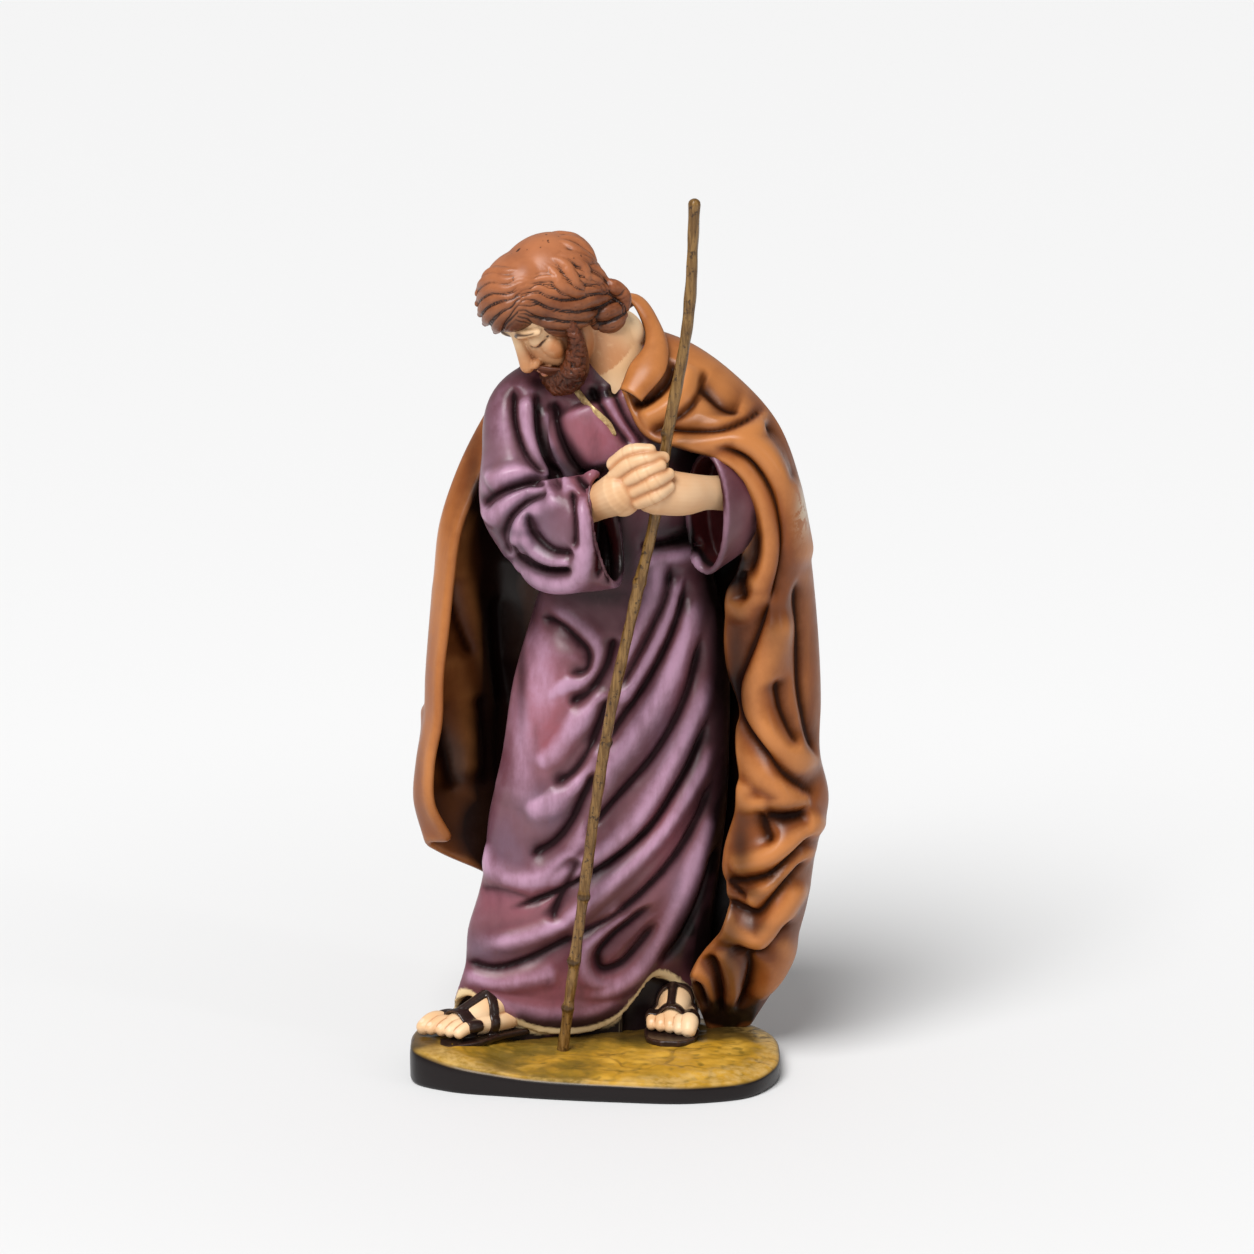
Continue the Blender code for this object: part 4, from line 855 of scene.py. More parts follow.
def near(points, centre, radii):
    # 1 at a centre, falling softly to 0 at the given radii
    reach = np.linalg.norm((points - np.array(centre, float)) / np.array(radii, float), axis=1)
    return eased(1, 0.25, reach)


def pairOf(centre):
    return [np.array(centre) * (s, 1, 1) for s in (-1, 1)]


jawLine = [
    (-20.5, 0, 4), (-19.5, 7, -13), (-12.5, 15.5, -25.5), (0, 20, -29), (12.5, 15.5, -25.5), (19.5, 7, -13),
    (20.5, 0, 4),
]


def makeHead(flesh):
    skull = ball((0, -5, 10), (23, 28, 25), 40, 60)
    face = ball((0, 4, -9), (17.5, 19.5, 24), 40, 60)
    nose = tube([(0, 21.5, 8), (0, 25.5, -1), (0, 29.0, -9.5)], [2.6, 2.9, 3.9], 30, 20)
    forms = [skull, face, nose, ball((0, 23.5, -12), (4.5, 3, 3))]
    forms += [ball(c, (2.5, 3.2, 2.4)) for c in pairOf((3.8, 26, -10.6))]
    forms += [ball(c, (7, 6, 8)) for c in pairOf((10.5, 14.5, -8))]
    forms += [ball(c, (5.2, 5.2, 4.8)) for c in pairOf((8.8, 17.2, 0.5))]
    for s in (-1, 1):
        brow = [(s * 3, 22.0, 7.5), (s * 9, 22.0, 8.8), (s * 16, 17.2, 6)]
        forms.append(tube(brow, [2.2, 2.6, 2.0], 20, 14))
    forms += [tube([(-5.5, 22.5, -17.2), (0, 25.4, -16.6), (5.5, 22.5, -17.2)], [1.2, 1.7, 1.2], 20, 12)]
    forms += [tube([(-4.5, 22.6, -19.4), (0, 25.0, -19.8), (4.5, 22.6, -19.4)], [1.3, 1.9, 1.3], 20, 12)]
    forms += [ball((0, 20, -27), (7, 6, 6))]
    forms = [onHead(f) for f in forms]
    neck = [(14, 9, 346), (11, 7, 360), (6, 5, 375), (-5, 0, 392)]
    forms += [ball((11, 7, 374), (14, 13, 14), 40, 60), tube(neck, [16.5, 15.5, 14.8, 13], 40, 40)]
    made = fused(meshObject("head", joined(forms)), headSizes["grid"], headSizes["softening"])
    made = thinned(made, headSizes["triangles"])
    points, normals, _ = readAll(made)
    local = inHead(points)
    # The lids are all but closed: a fine slit under each, and a crease above
    press = np.zeros(len(points))
    for s in (-1, 1):
        for low, high, depth, thick in ((-2.9, -1.2, 0.75, 0.5), (5.0, 5.4, 0.5, 0.7)):
            slit = along([(s * 4.2, low + 0.9), (s * 8.8, low), (s * 13.4, high)], 9)
            gap, _ = nearestOn(slit, local[:, [0, 2]])
            press -= depth * eased(thick * 2, 0, gap) * (local[:, 1] > 12)
    lips = nearestOn(along([(-6, -18.6), (0, -18.0), (6, -18.6)], 9), local[:, [0, 2]])[0]
    press -= 0.6 * eased(1.0, 0, lips) * (local[:, 1] > 15)
    writePoints(made, points + normals * press[:, None])
    points, normals, ends = readAll(made)
    local = inHead(points)
    ahead = (local[:, 1] > 8) * eased(0.0, 0.3, -(normals @ headTurn() * (0, -1, 0)).sum(1))
    brow, lash = np.zeros(len(points)), np.zeros(len(points))
    for s in (-1, 1):
        arch = along([(s * 3.4, 7.6), (s * 9, 10.2), (s * 16, 7.4)], 15)
        gap, where = nearestOn(arch, local[:, [0, 2]])
        brow = np.maximum(brow, eased(1.5, 0.7, gap + 0.8 * where) * ahead)
        slit = along([(s * 4.4, -1.9), (s * 8.8, -2.9), (s * 13.6, -1.0)], 11)
        lash = np.maximum(lash, eased(0.95, 0.4, nearestOn(slit, local[:, [0, 2]])[0]) * ahead)
    blush = np.maximum(near(local, (-17, 8, -9), (9, 14, 13)), near(local, (17, 8, -9), (9, 14, 13)))
    jaw = eased(9, 6.5, nearestOn(along(jawLine, 31), local)[0])
    edge = eased(-2, -12, local[:, 2] - 0.30 * (local[:, 1] - 2)) * (local[:, 2] > -40)
    fillFlesh(
        made,
        points,
        brow=brow,
        lash=lash,
        lips=eased(2.6, 1.4, np.abs(local[:, 2] + 18)) * eased(6.5, 5, np.abs(local[:, 0])) * ahead,
        blush=np.clip(blush * 0.8 + 0.8 * edge * eased(-20, -6, local[:, 1]), 0, 1),
        beardShade=jaw * 0.8,
        hollow=np.clip(relaxed(shutIn(points, normals), ends, 6), 0, 1),
    )
    return finished(made, flesh)


def shutIn(points, normals):
    # A cheap guess at how far a place on the skin lies in a recess or faces down, under the brows, nose and
    # chin, for its painted shade
    local, facing = inHead(points), normals @ headTurn()
    under = eased(0.1, -0.7, facing[:, 2]) * 0.6
    socket = sum(near(local, c, (5.5, 9, 4.5)) for c in pairOf((5.5, 21, 4.5)))
    return under + 0.5 * socket


# Hair and beard: locks laid along lines, fused into one soft mass, with fine strands cut along them

hairSizes = {"rows": 12, "thickness": 3.1, "grid": 0.6, "triangles": 120000, "comb": 0.2}
beardSizes = {"curls": 260, "thickness": 1.5, "grid": 0.42, "triangles": 80000, "comb": 0.16}


def hairPoint(side, bearing, height, lift):
    # A point on the hair: degrees round from the front, degrees up, and a lift off the cap
    a, b = math.radians(bearing), math.radians(height)
    reach = np.array((25.5, 29.5, 26.0)) + lift
    way = (side * math.sin(a) * math.cos(b), math.cos(a) * math.cos(b), math.sin(b))
    return np.array((0, -7, 12)) + reach * way


# Locks on the side that shows, as lines (x, height) from the parting, with their thickness
sweptBack = [
    (4.3, [
        (-35.5, 392.8), (-28.4, 394.7), (-22.7, 392.8), (-15.9, 389.7), (-9.1, 390.5), (-1, 393.3),
        (6, 394.5), (13, 392.8),
    ]),
    (4.1, [(-35.2, 389.4), (-28.4, 388.6), (-21.6, 387.6), (-13.6, 385.6), (-5.7, 385.4), (1, 387.5)]),
    (3.3, [(-33.5, 385.9), (-28.4, 384), (-21.6, 382.2), (-13.6, 381.7), (-5.7, 382.2), (-1, 383.5)]),
    (3.4, [
        (-34.6, 396.8), (-27.3, 398.5), (-20.5, 396.2), (-13.6, 395.8), (-3.4, 397.9), (5.7, 398.5),
        (13.6, 395.6),
    ]),
    (4.4, [(-2, 386.5), (3.4, 386.4), (10.2, 388), (15.5, 390)]),
    (4.4, [(-2, 383), (3, 380.5), (9, 381), (14.5, 385.4)]),
    (3.6, [(-3, 386), (1, 381), (7, 377.5), (12, 379.5)]),
    (3.8, [(4, 401), (10.2, 398.8), (14.6, 394.3), (15.6, 388.8)]),
    (2.4, [(-12, 413.5), (-5.7, 410.8), (1.1, 407.4), (6.5, 402.5)]),
    (2.4, [(-15, 408), (-3.4, 404.5), (5, 400)]),
    (2.6, [(-31, 402), (-22, 403.5), (-12, 402), (-3, 402), (4, 399.5)]),
]
sweptForward = [
    (3.4, [(-36.9, 403.6), (-42, 402.2), (-48.9, 402.9), (-54, 400.2), (-57, 396)]),
    (3.5, [(-36.6, 400.2), (-42, 398), (-47.7, 398.4), (-53.4, 395.2), (-57, 391)]),
    (3.5, [(-36.6, 396.8), (-40.9, 394.2), (-46.6, 393.8), (-51.7, 390.6), (-55.7, 386)]),
    (3.5, [(-36.9, 393.3), (-40.9, 391.1), (-45.5, 388.6), (-50, 385.5), (-53.4, 381.5)]),
    (3.3, [(-38.1, 389.9), (-41.5, 387.1), (-44.3, 384.6), (-46.6, 380.8), (-48.3, 377.5)]),
    (3.0, [(-36.4, 407), (-43.2, 406.2), (-50, 406), (-54.5, 402.5)]),
]


def drapedLocks(cap):
    # The locks that show, laid on the cap of hair, each in the figure's frame
    locks = []
    slope = math.tan(math.radians(6))
    for thick, line in sweptBack + sweptForward:
        spots = []
        for x, z in along(line, 26):
            y = 0.0
            for _ in range(2):
                start = Vector((x, -80, z - slope * y)) * unit
                hit = cap.ray_cast(start, Vector((0, 1, 0)))
                if hit[0] is None:
                    hit = cap.find_nearest(Vector((x, -14, z)) * unit)
                y = hit[0].y / unit
            spots.append((x, y + 0.5 * thick, z - slope * y))
        spots = np.array(spots)
        spots[:, 1] = relaxed(spots[:, 1], lineEnds(len(spots)), 3)
        locks.append((spots, thick))
    return locks


def hairLocks():
    # Locks round the far side and the back, in the head's frame
    locks = []
    rows = hairSizes["rows"]
    for i in range(rows):
        share = i / (rows - 1)
        start, middle = (8, 34 + 50 * share), (54 + 30 * share, 12 + 50 * share)
        end = (118 + 22 * share, -24 + 30 * share)
        line = []
        for t in np.linspace(0, 1, 26):
            a = (1 - t) ** 2 * start[0] + 2 * t * (1 - t) * middle[0] + t**2 * end[0]
            b = (1 - t) ** 2 * start[1] + 2 * t * (1 - t) * middle[1] + t**2 * end[1]
            wave = (3.4 - 2.2 * share) * math.sin(11 * t + 1.9 * i)
            line.append(hairPoint(1, a, b + wave, -0.6 - 2.6 * share + 0.4 * math.sin(7 * t + 2.3 * i)))
        locks.append((line, hairSizes["thickness"] * (1.05 - 0.2 * share)))
    for i in range(15):
        bearing = 104 + 11.5 * i
        line = []
        for t in np.linspace(0, 1, 26):
            height = 46 - 92 * t + 3 * math.sin(2.1 * i)
            turn = bearing + (4 + 4 * t) * math.sin(8 * t + 1.7 * i)
            line.append(hairPoint(1, turn, height, -2.2 * eased(0.4, 0, t) - 1.2 - 5.0 * eased(0.55, 1, t)))
        locks.append((line, hairSizes["thickness"] * 1.2))
    return locks


def beardLocks():
    # Curls over the jaw, chin and lip, each a short S, in the head's frame
    draw = np.random.default_rng(7)
    jaw = along(jawLine, 90)
    locks = []
    for i in range(beardSizes["curls"]):
        share = draw.random()
        at = jaw[int(share * 89)]
        around = draw.uniform(-0.15, 1.0) * math.pi
        out = np.array((at[0], at[1] + 3, 0))
        out /= np.linalg.norm(out)
        width = 3.6 + 4.4 * math.sin(share * math.pi) ** 1.5
        centre = at + width * (out * math.sin(around) + np.array((0, 0, 1)) * math.cos(around) * 0.9)
        down = np.array((0, 0, -1.0)) * math.sin(around) + out * math.cos(around)
        across = np.cross(out, down)
        length = draw.uniform(4.5, 7.0)
        bend = draw.choice((-1, 1)) * draw.uniform(0.8, 1.6)
        line = []
        for t in np.linspace(0, 1, 10):
            spot = centre + down * (t - 0.4) * length + across * bend * math.sin(5.2 * t)
            line.append(spot + out * 0.5 * math.sin(3.1 * t))
        locks.append((line, beardSizes["thickness"] * draw.uniform(0.8, 1.2)))
    for s in (-1, 1):
        for i in range(8):
            line = []
            for t in np.linspace(0, 1, 12):
                sag = -13.2 - 0.8 * i - 7 * t * t + 0.5 * math.sin(6 * t + i)
                line.append((s * (0.6 + 11 * t), 26.6 - 0.2 * i - 6.5 * t * t, sag))
            locks.append((line, 1.25))
    return locks


def lockMass(name, forms, locks, wanted, rounds, pitch):
    # Forms and locks fused into one mass, with fine strands cut along the locks
    tubes = []
    for line, thick in locks:
        share = np.linspace(0, 1, 7)
        radii = thick * np.maximum((4 * share * (1 - share)) ** 0.35, 0.45)
        tubes.append(tube(line, radii, 30, 14))
    made = fused(meshObject(name, joined(forms + tubes)), wanted["grid"], rounds)
    points, normals, _ = readAll(made)
    samples, ways, sizes = [], [], []
    for line, thick in locks:
        path = along(line, 40)
        samples.append(path)
        ways.append(sized(np.gradient(path, axis=0)))
        sizes += [thick] * len(path)
    samples, ways, sizes = np.concatenate(samples), np.concatenate(ways), np.array(sizes)
    tree = KDTree(len(samples))
    for i, spot in enumerate(samples):
        tree.insert(spot, i)
    tree.balance()
    found = [tree.find(p) for p in points]
    closest = np.array([f[1] for f in found])
    gap = np.array([f[2] for f in found])
    across = np.cross(ways[closest], normals)
    aside = ((points - samples[closest]) * across).sum(1)
    on = eased(1.9, 1.1, gap / sizes[closest])
    strand = np.cos(2 * math.pi * aside / pitch + 0.6 * np.sin(points[:, 0] * 0.9))
    strand = strand - 0.4 * eased(0.5, 1.0, np.abs(aside) / sizes[closest])
    smoother = eased(36, 22, inHead(points)[:, 2] - 0.4 * inHead(points)[:, 1])
    writePoints(made, points + normals * (wanted["comb"] * strand * on * smoother)[:, None])
    return thinned(made, wanted["triangles"])


def makeHair(finish):
    cap = [
        ball((0, -8, 12), (25.0, 28.6, 25.6), 60, 90), ball((0, 10.5, 20), (21, 17, 14.5), 40, 60),
        ball((0, -17, -2), (20, 17, 19)), ball((-3, -18, -16), (17, 12, 13)),
        ball((-12, -19, -22), (8.5, 8.5, 7.5)),
        ball((0, 2.5, 26.5), (20, 19, 13.5), 40, 60), ball((-6, -19, 3), (17, 15, 17), 40, 60),
    ]
    cap += [ball(c, (8.5, 17, 15)) for c in pairOf((16.5, -3, 3))]
    cap = [onHead(f) for f in cap]
    under = fused(meshObject("under", joined(cap)), 1.0, 6)
    tree = treeOf(under.data)
    bare = (readPoints(under), [list(p.vertices) for p in under.data.polygons])
    bpy.data.objects.remove(under)
    locks = drapedLocks(tree) + [(pathOnHead(line), thick) for line, thick in hairLocks()]
    made = lockMass("hair", [bare], locks, hairSizes, 2, 1.9)
    points = readPoints(made)
    local = inHead(points)
    # Marks for painted highlight on the crown and painted shade low down on the hair
    crown, deep = eased(16, 34, local[:, 2] - 0.5 * local[:, 1]), eased(408, 384, points[:, 2]) * 0.9
    keepAll(made, raised=raisedBy(made, 10, 0.5, 1), crown=crown, deep=deep)
    return finished(made, finish)


def makeBeard(finish):
    jaw = onHead(tube(jawLine, [2.2, 4.4, 7.2, 9.2, 7.2, 4.4, 2.2], 60, 24))
    locks = [(pathOnHead(line), thick) for line, thick in beardLocks()]
    made = lockMass("beard", [jaw], locks, beardSizes, 1, 0.9)
    raised = raisedBy(made, 8, 0.4, 1)
    keepAll(made, raised=raised, crown=0 * raised, deep=0 * raised)
    return finished(made, finish)


# Hands and feet

handSizes = {"grid": 0.5, "softening": 3, "finger": [4.1, 3.8, 3.8, 3.2]}


def handForms():
    wrist = tube([(-6, -32, 294), (5, -40, 300), (12, -45, 304)], [8.5, 9, 11], 30, 24)
    palm = ball((14, -46, 305), (10, 8, 12.5), 30, 40)
    fingers = [
        [(10, -44, 318), (18, -50, 325), (27, -52, 326)],
        [(10, -47, 312), (18, -53, 319.5), (27, -54, 322), (33.5, -50, 322)],
        [(17, -51, 311), (23.5, -56, 315), (32, -55, 319)],
        [(20, -52, 306), (28.5, -57, 311), (36, -53, 314.5)],
        [(22, -51, 301), (30, -56, 305), (36, -53, 308.5)],
    ]
    arm = [(66, -20, 300), (54, -32, 302), (42, -42, 303), (30, -46, 305)]
    forearm = tube(arm, [9, 8.5, 10.5, 11.5], 40, 30, flat=0.85)
    return [wrist, palm, forearm] + [tube(f, handSizes["finger"], 26, 18) for f in fingers], fingers


def makeHands(flesh):
    forms, fingers = handForms()
    made = fused(meshObject("hands", joined(forms)), handSizes["grid"], handSizes["softening"])
    points, normals, _ = readAll(made)
    press = np.zeros(len(points))
    for finger in fingers:
        line = along(finger, 30)
        way = line[-1] - line[0]
        for at in (0.42, 0.72):
            joint = line[int(at * 29)]
            beside = np.abs((points - joint) @ way / np.linalg.norm(way))
            press -= 0.35 * eased(1.3, 0, beside) * near(points, joint, (6, 6, 6))
    writePoints(made, points + normals * press[:, None])
    coarse = paintRelief(made, 10)
    points = readPoints(made)
    gaps = np.sort(np.stack([nearestOn(along(f, 12), points)[0] for f in fingers], 1), axis=1)
    between = eased(3.0, 0.0, gaps[:, 1] - gaps[:, 0]) * eased(7, 4, gaps[:, 0])
    wrists = near(points, (2, -38, 298), (9, 14, 14)) + near(points, (66, -20, 300), (12, 16, 14))
    # Painted shade: warmer and darker between the fingers, in hollows and at the wrists by the cuffs, over a
    # warm tone all over
    fillFlesh(made, points, hollow=np.clip(0.42 + 0.2 * between - coarse / 1.4 + 0.4 * wrists, 0, 0.7))
    return finished(made, flesh)


def fillFlesh(made, points, **values):
    for name in ("brow", "lash", "lips", "blush", "beardShade", "hollow", "nail"):
        keep(made, name, values.get(name, np.zeros(len(points))))


footSizes = {
    "grid": 0.5,
    "toeGap": 4.9,
    "toes": [4.9, 3.8, 3.7, 3.5, 3.3],
    "sole": 3.2,
    "rightFoot": ((-45, 14, 16), (-79, -10, 17.5), 1),
    "leftFoot": ((42, 40, 13), (38.5, 9.5, 13), -1),
}


def footParts(heel, toe, inner):
    # Flesh and leather of one foot on its sandal, and where its nails are. inner is the big toe's side.
    heel, toe = np.array(heel, float), np.array(toe, float)
    ahead = toe - heel
    side = np.cross(ahead, (0, 0, 1.0))
    side *= -inner / np.linalg.norm(side)

    def at(share, across, up):
        return heel + ahead * share + side * across + np.array((0, 0, float(up)))

    instep = [at(-0.05, 0, 22) + (0, 3, 0), at(0.12, 0, 17) + (0, 2, 0), at(0.45, 0, 10.5), at(0.78, 0, 6.8)]
    flesh = [
        tube(instep, [8, 8.4, 7.6, 5.6], 40, 30, flat=1.1),
        tube([at(0.05, 0, 7), at(0.5, 0, 7), at(0.8, 0, 6)], [6.5, 7, 5.2], 40, 30, flat=1.55),
    ]
    nails = []
    for i, size in enumerate(footSizes["toes"]):
        across = (i - 1.9) * footSizes["toeGap"]
        reach = 1.08 - 0.05 * i + (0.02 if i == 1 else 0)
        bend = [at(reach - 0.28, across * 0.9, 7.0)]
        bend += [at(reach - back, across, up) for back, up in ((0.15, 7.6), (0.04, 6.0), (0, 5.0))]
        flesh.append(tube(bend, [size, size * 0.98, size * 0.95, size * 0.85], 24, 20))
        nails.append((at(reach + 0.02, across, 5.0 + size * 0.55), size * 0.62))
    sole = [at(-0.12, 0, 0), at(0.3, 0, 0), at(0.7, 0.5, 0), at(1.02, 0, 0)]
    points, faces = tube(sole, [10, 10.5, 14, 13.5], 50, 40)
    thick = footSizes["sole"] / 2
    points[:, 2] = heel[2] - 1.5 + thick + np.clip((points[:, 2] - heel[2]) * 0.5, -1, 1) * thick
    leather = [(points, faces)]
    surface = BVHTree.FromPolygons(*[x.tolist() if hasattr(x, "tolist") else x for x in joined(flesh)])

    def snug(share, lean, radius, reach=(-1.15, 1.15)):
        # A strap that hugs the foot at a share of its length, leaning back towards its outer side
        path = []
        for turn in np.linspace(reach[0], reach[1], 17) * math.pi / 2:
            spot = share + lean * math.sin(turn)
            centre = at(spot, 0, 4)
            away = side * math.sin(turn) + np.array((0, 0, 1.0)) * math.cos(turn)
            hit = surface.ray_cast(Vector(centre + away * 30), Vector(-away))
            path.append(np.array(hit[0]) + away * 0.3 if hit[0] is not None else centre + away * 10)
        return tube(np.array(path), [radius] * 2, 50, 16, flat=1.1 / radius, up=ahead)

    leather.append(snug(0.72, -0.05, 4.6))
    leather.append(snug(0.30, 0.06, 3.0))
    ridge = []
    for share in (0.28, 0.4, 0.55, 0.7):
        hit = surface.ray_cast(Vector(at(share, 1.0, 40)), Vector((0, 0, -1)))
        ridge.append(np.array(hit[0]) + (0, 0, 0.3))
    leather.append(tube(ridge, [2.6, 2.2], 30, 16, flat=1.0, up=side))
    return flesh, leather, nails


def makeFeet(flesh, leather):
    parts = [footParts(*footSizes[name]) for name in ("rightFoot", "leftFoot")]
    made = fused(meshObject("feet", joined(parts[0][0] + parts[1][0])), footSizes["grid"], 2)
    points, normals, _ = readAll(made)
    nail = np.zeros(len(points))
    for at, size in parts[0][2] + parts[1][2]:
        nail = np.maximum(nail, near(points, at, (size, size, size)))
    coarse = paintRelief(made, 10)
    nail = eased(0.3, 0.6, nail) * eased(0.0, 0.4, normals[:, 2])
    # Painted shade in the feet's recesses, between the toes
    fillFlesh(made, points, hollow=np.clip(-coarse / 0.3, 0, 1), nail=nail)
    finished(made, flesh)
    sandals = fused(meshObject("sandals", joined(parts[0][1] + parts[1][1])), 0.6, 1)
    keep(sandals, "raised", raisedBy(sandals, 8, 0.6))
    return finished(sandals, leather)


# Ground: a slab with a rounded rim, in metres as in the solids, under low relief and cracks

groundSizes = {
    "length": 0.188,
    "depth": 0.118,
    "forward": 0.003,
    "thickness": 0.012,
    "rounding": 0.002,
    "relief": 0.0011,
}


# Shares of the half length and half depth, and the height there as a share of the thickness
groundOutline = [
    (-1.0, -0.10, 1.5), (-0.97, -0.45, 1.5), (-0.80, -0.66, 1.25), (-0.45, -0.82, 0.95),
    (0.10, -0.97, 0.85), (0.55, -1.0, 0.8), (0.82, -0.84, 0.8), (0.97, -0.45, 0.85), (1.0, 0.0, 0.9),
    (0.98, 0.40, 0.9), (0.85, 0.78, 0.9), (0.50, 0.98, 0.9), (0.0, 1.0, 1.0), (-0.55, 0.96, 1.1),
    (-0.86, 0.70, 1.25), (-0.98, 0.28, 1.4),
]


def makeGround(turf):
    reach = np.array((groundSizes["length"] / 2, groundSizes["depth"] / 2, groundSizes["thickness"]))
    ring = along(np.array(groundOutline) * reach, 360, closed=True)
    outline, edge = ring[:, :2] - (0, groundSizes["forward"]), ring[:, 2]
    middle = outline.mean(0)
    radius = np.linalg.norm(outline - middle, axis=1)[:, None]
    soft = groundSizes["rounding"]
    levels = [
        (0.8 * soft, 0), (0.3 * soft, 0.35 * soft), (0.05 * soft, 0.9 * soft),
        (0, 0.4 * edge), (0, 0.7 * edge), (0.15 * soft, edge - 0.9 * soft),
        (0.5 * soft, edge - 0.4 * soft), (1.2 * soft, edge - 0.08 * soft),
    ]
    rings = []
    for inset, level in levels:
        inner = outline + (middle - outline) * inset / radius
        rings.append(np.column_stack([inner, level + 0 * edge]))
    for share in np.linspace(0.955, 0.02, 70):
        flat = middle + (outline - middle) * share
        inside = groundSizes["thickness"] * (1 + 0.5 * eased(0.45, 0.8, -flat[:, 0] / reach[0]))
        level = edge + (inside - edge) * eased(0, 0.3, 1 - share)
        lumps = [noise.fractal(Vector((x * 62, y * 62, 3.1)), 0.9, 2.1, 3) for x, y in flat]
        level = level + groundSizes["relief"] * np.array(lumps) * eased(0.0, 0.12, 1 - share)
        rings.append(np.column_stack([flat, level]))
    points, faces = loft(np.array(rings))
    made = meshObject("ground", (points / unit, faces))
    points, normals, _ = readAll(made)
    raised = raisedBy(made, 12, 0.35)
    top = eased(0.45, 0.9, normals[:, 2])
    inset = 1 - np.linalg.norm((points[:, :2] * unit - middle) / reach[:2], axis=1)
    # Painted shade on the top: darker towards the back under the figure and along the front of the hem, with
    # a dark patch at the left end by the right foot; and a painted highlight round the top's edge
    spots = [(-93, -12, 15, 17, 1.9), (30, 4, 26, 5, 0.5), (-40, 4, 30, 5, 0.5)]
    dark = np.clip(blots(points[:, [0, 2, 1]], spots), 0, 1)
    rim, under = eased(0.16, 0.05, inset) * top * (1 - dark), dark + eased(2, 14, points[:, 1]) * top
    keepAll(made, raised=raised, top=top, rim=rim, under=under)
    return finished(made, turf)


# Staff: a thin branch with knots, standing in the ground and running up through the hands

staffSizes = {"diameter": 0.0056, "length": 0.450, "socket": 0.007, "knotSwell": 0.22, "grain": 0.035}


def staffPath(count):
    footAt = np.array((-16.5 * unit, -9.0 * unit, groundSizes["thickness"]))
    topAt = np.array((48.0, -56.0, 444.0)) * unit
    line = sized(topAt - footAt)
    start = footAt - line * (staffSizes["socket"] - staffSizes["diameter"] / 2)
    # share of the length, and how far the wood bends to the right there
    bends = [(0, 0), (0.19, -1.7), (0.42, -2.3), (0.56, 1.5), (0.65, 4.4), (0.74, 4.4), (0.87, 5.6), (1, 0)]
    bends = np.array(bends, float)
    share = np.linspace(0, 1, count)
    points = start + line * (share * (staffSizes["length"] - staffSizes["diameter"]))[:, None]
    points[:, 0] += smooth(bends[:, 0], bends[:, 1], share) * unit
    return points


def makeStaff(branch):
    count, sides = 460, 28
    path = staffPath(count)
    knots = (35, 333, 258, 176, 95, 60)
    points, faces = tube(path, [staffSizes["diameter"] / 2] * 2, count, sides)
    body = points[:-2].reshape(-1, sides, 3)
    centres = body.mean(1, keepdims=True)
    out = body - centres
    height = centres[:, 0, 2] / unit
    turn = circle(sides)
    swell = np.zeros((len(body), sides))
    for k, z in enumerate(knots):
        lump = staffSizes["knotSwell"] * np.exp(-((height - z) / 2.0) ** 2)[:, None]
        swell += lump * (1 + 0.9 * np.cos(turn - 1.3 * k))[None, :]
    grain = np.sin(9 * turn[None, :] + 0.05 * height[:, None])
    grain = grain + 0.6 * np.sin(5 * turn[None, :] - 0.21 * height[:, None])
    slow = 0.05 * np.sin(0.13 * height)[:, None] + 0.035 * np.sin(0.41 * height + 1)[:, None]
    scale = 1 + swell + staffSizes["grain"] * grain + slow - 0.02
    points[:-2] = (centres + out * scale[:, :, None]).reshape(-1, 3)
    made = meshObject("staff_rod", (points / unit, faces))
    keep(made, "knot", np.concatenate([eased(0.05, 0.3, swell).ravel(), [0, 0]]))
    return finished(made, branch, "staff")


# Patches of the figure's hand-laid paint (pink, grey, worn), of painted shade (shade) and of painted
# highlight (lit, glow), the last two partly its own airbrushing: x, height, half width, half height, how much

tunicShade = [
    (-34, 240, 7, 18, 0.95), (63, 205, 8, 66, 1.0), (64, 120, 7.5, 60, 1.0), (57, 60, 9, 24, 0.95),
    (60, 248, 10, 22, 1.0), (40, 278, 20, 6, 0.8), (-2, 347, 10, 4, 0.4), (4, 246, 24, 6, 0.8),
    (16, 262, 6, 16, 0.8), (-37, 205, 3, 26, 0.7), (12, 300, 5, 12, 0.6), (50, 160, 8, 50, 0.4),
    (48, 62, 10, 18, 0.7), (-30, 272, 12, 16, 0.3), (-36, 283, 12, 3, 0.5), (20, 250, 20, 14, 0.25),
]
tunicLit = [
    (-28, 205, 8, 24, 0.8), (-36, 168, 7, 28, 0.8), (-25, 140, 10, 6, 0.8), (-9, 150, 8, 5, 0.6),
    (-14, 200, 12, 4, 0.6), (-8, 183, 11, 6, 0.5), (-30, 100, 16, 4, 0.5), (-54, 300, 6, 18, 0.5),
    (-42, 328, 7, 16, 0.6), (-52, 262, 10, 10, 0.3), (48, 104, 5, 14, 0.4), (30, 262, 4, 12, 0.3),
    (40, 205, 5, 22, 0.3), (-57, 106, 4, 6, 0.6), (-22, 252, 18, 4, 0.5),
]
tunicPink = [
    (0, 325, 22, 24, 1.0), (-26, 190, 14, 34, 1.0), (-40, 90, 22, 16, 0.8), (40, 110, 16, 40, 0.6),
    (-20, 40, 40, 14, 0.8), (44, 200, 8, 30, 0.5),
]
tunicGrey = [
    (-38, 285, 26, 40, 0.9), (-26, 138, 14, 12, 1.0), (-44, 112, 14, 20, 0.7), (36, 176, 14, 26, 0.6),
    (44, 90, 8, 20, 0.8), (-5, 105, 20, 10, 0.5), (-56, 60, 16, 8, 0.8), (30, 255, 12, 20, 0.8),
]
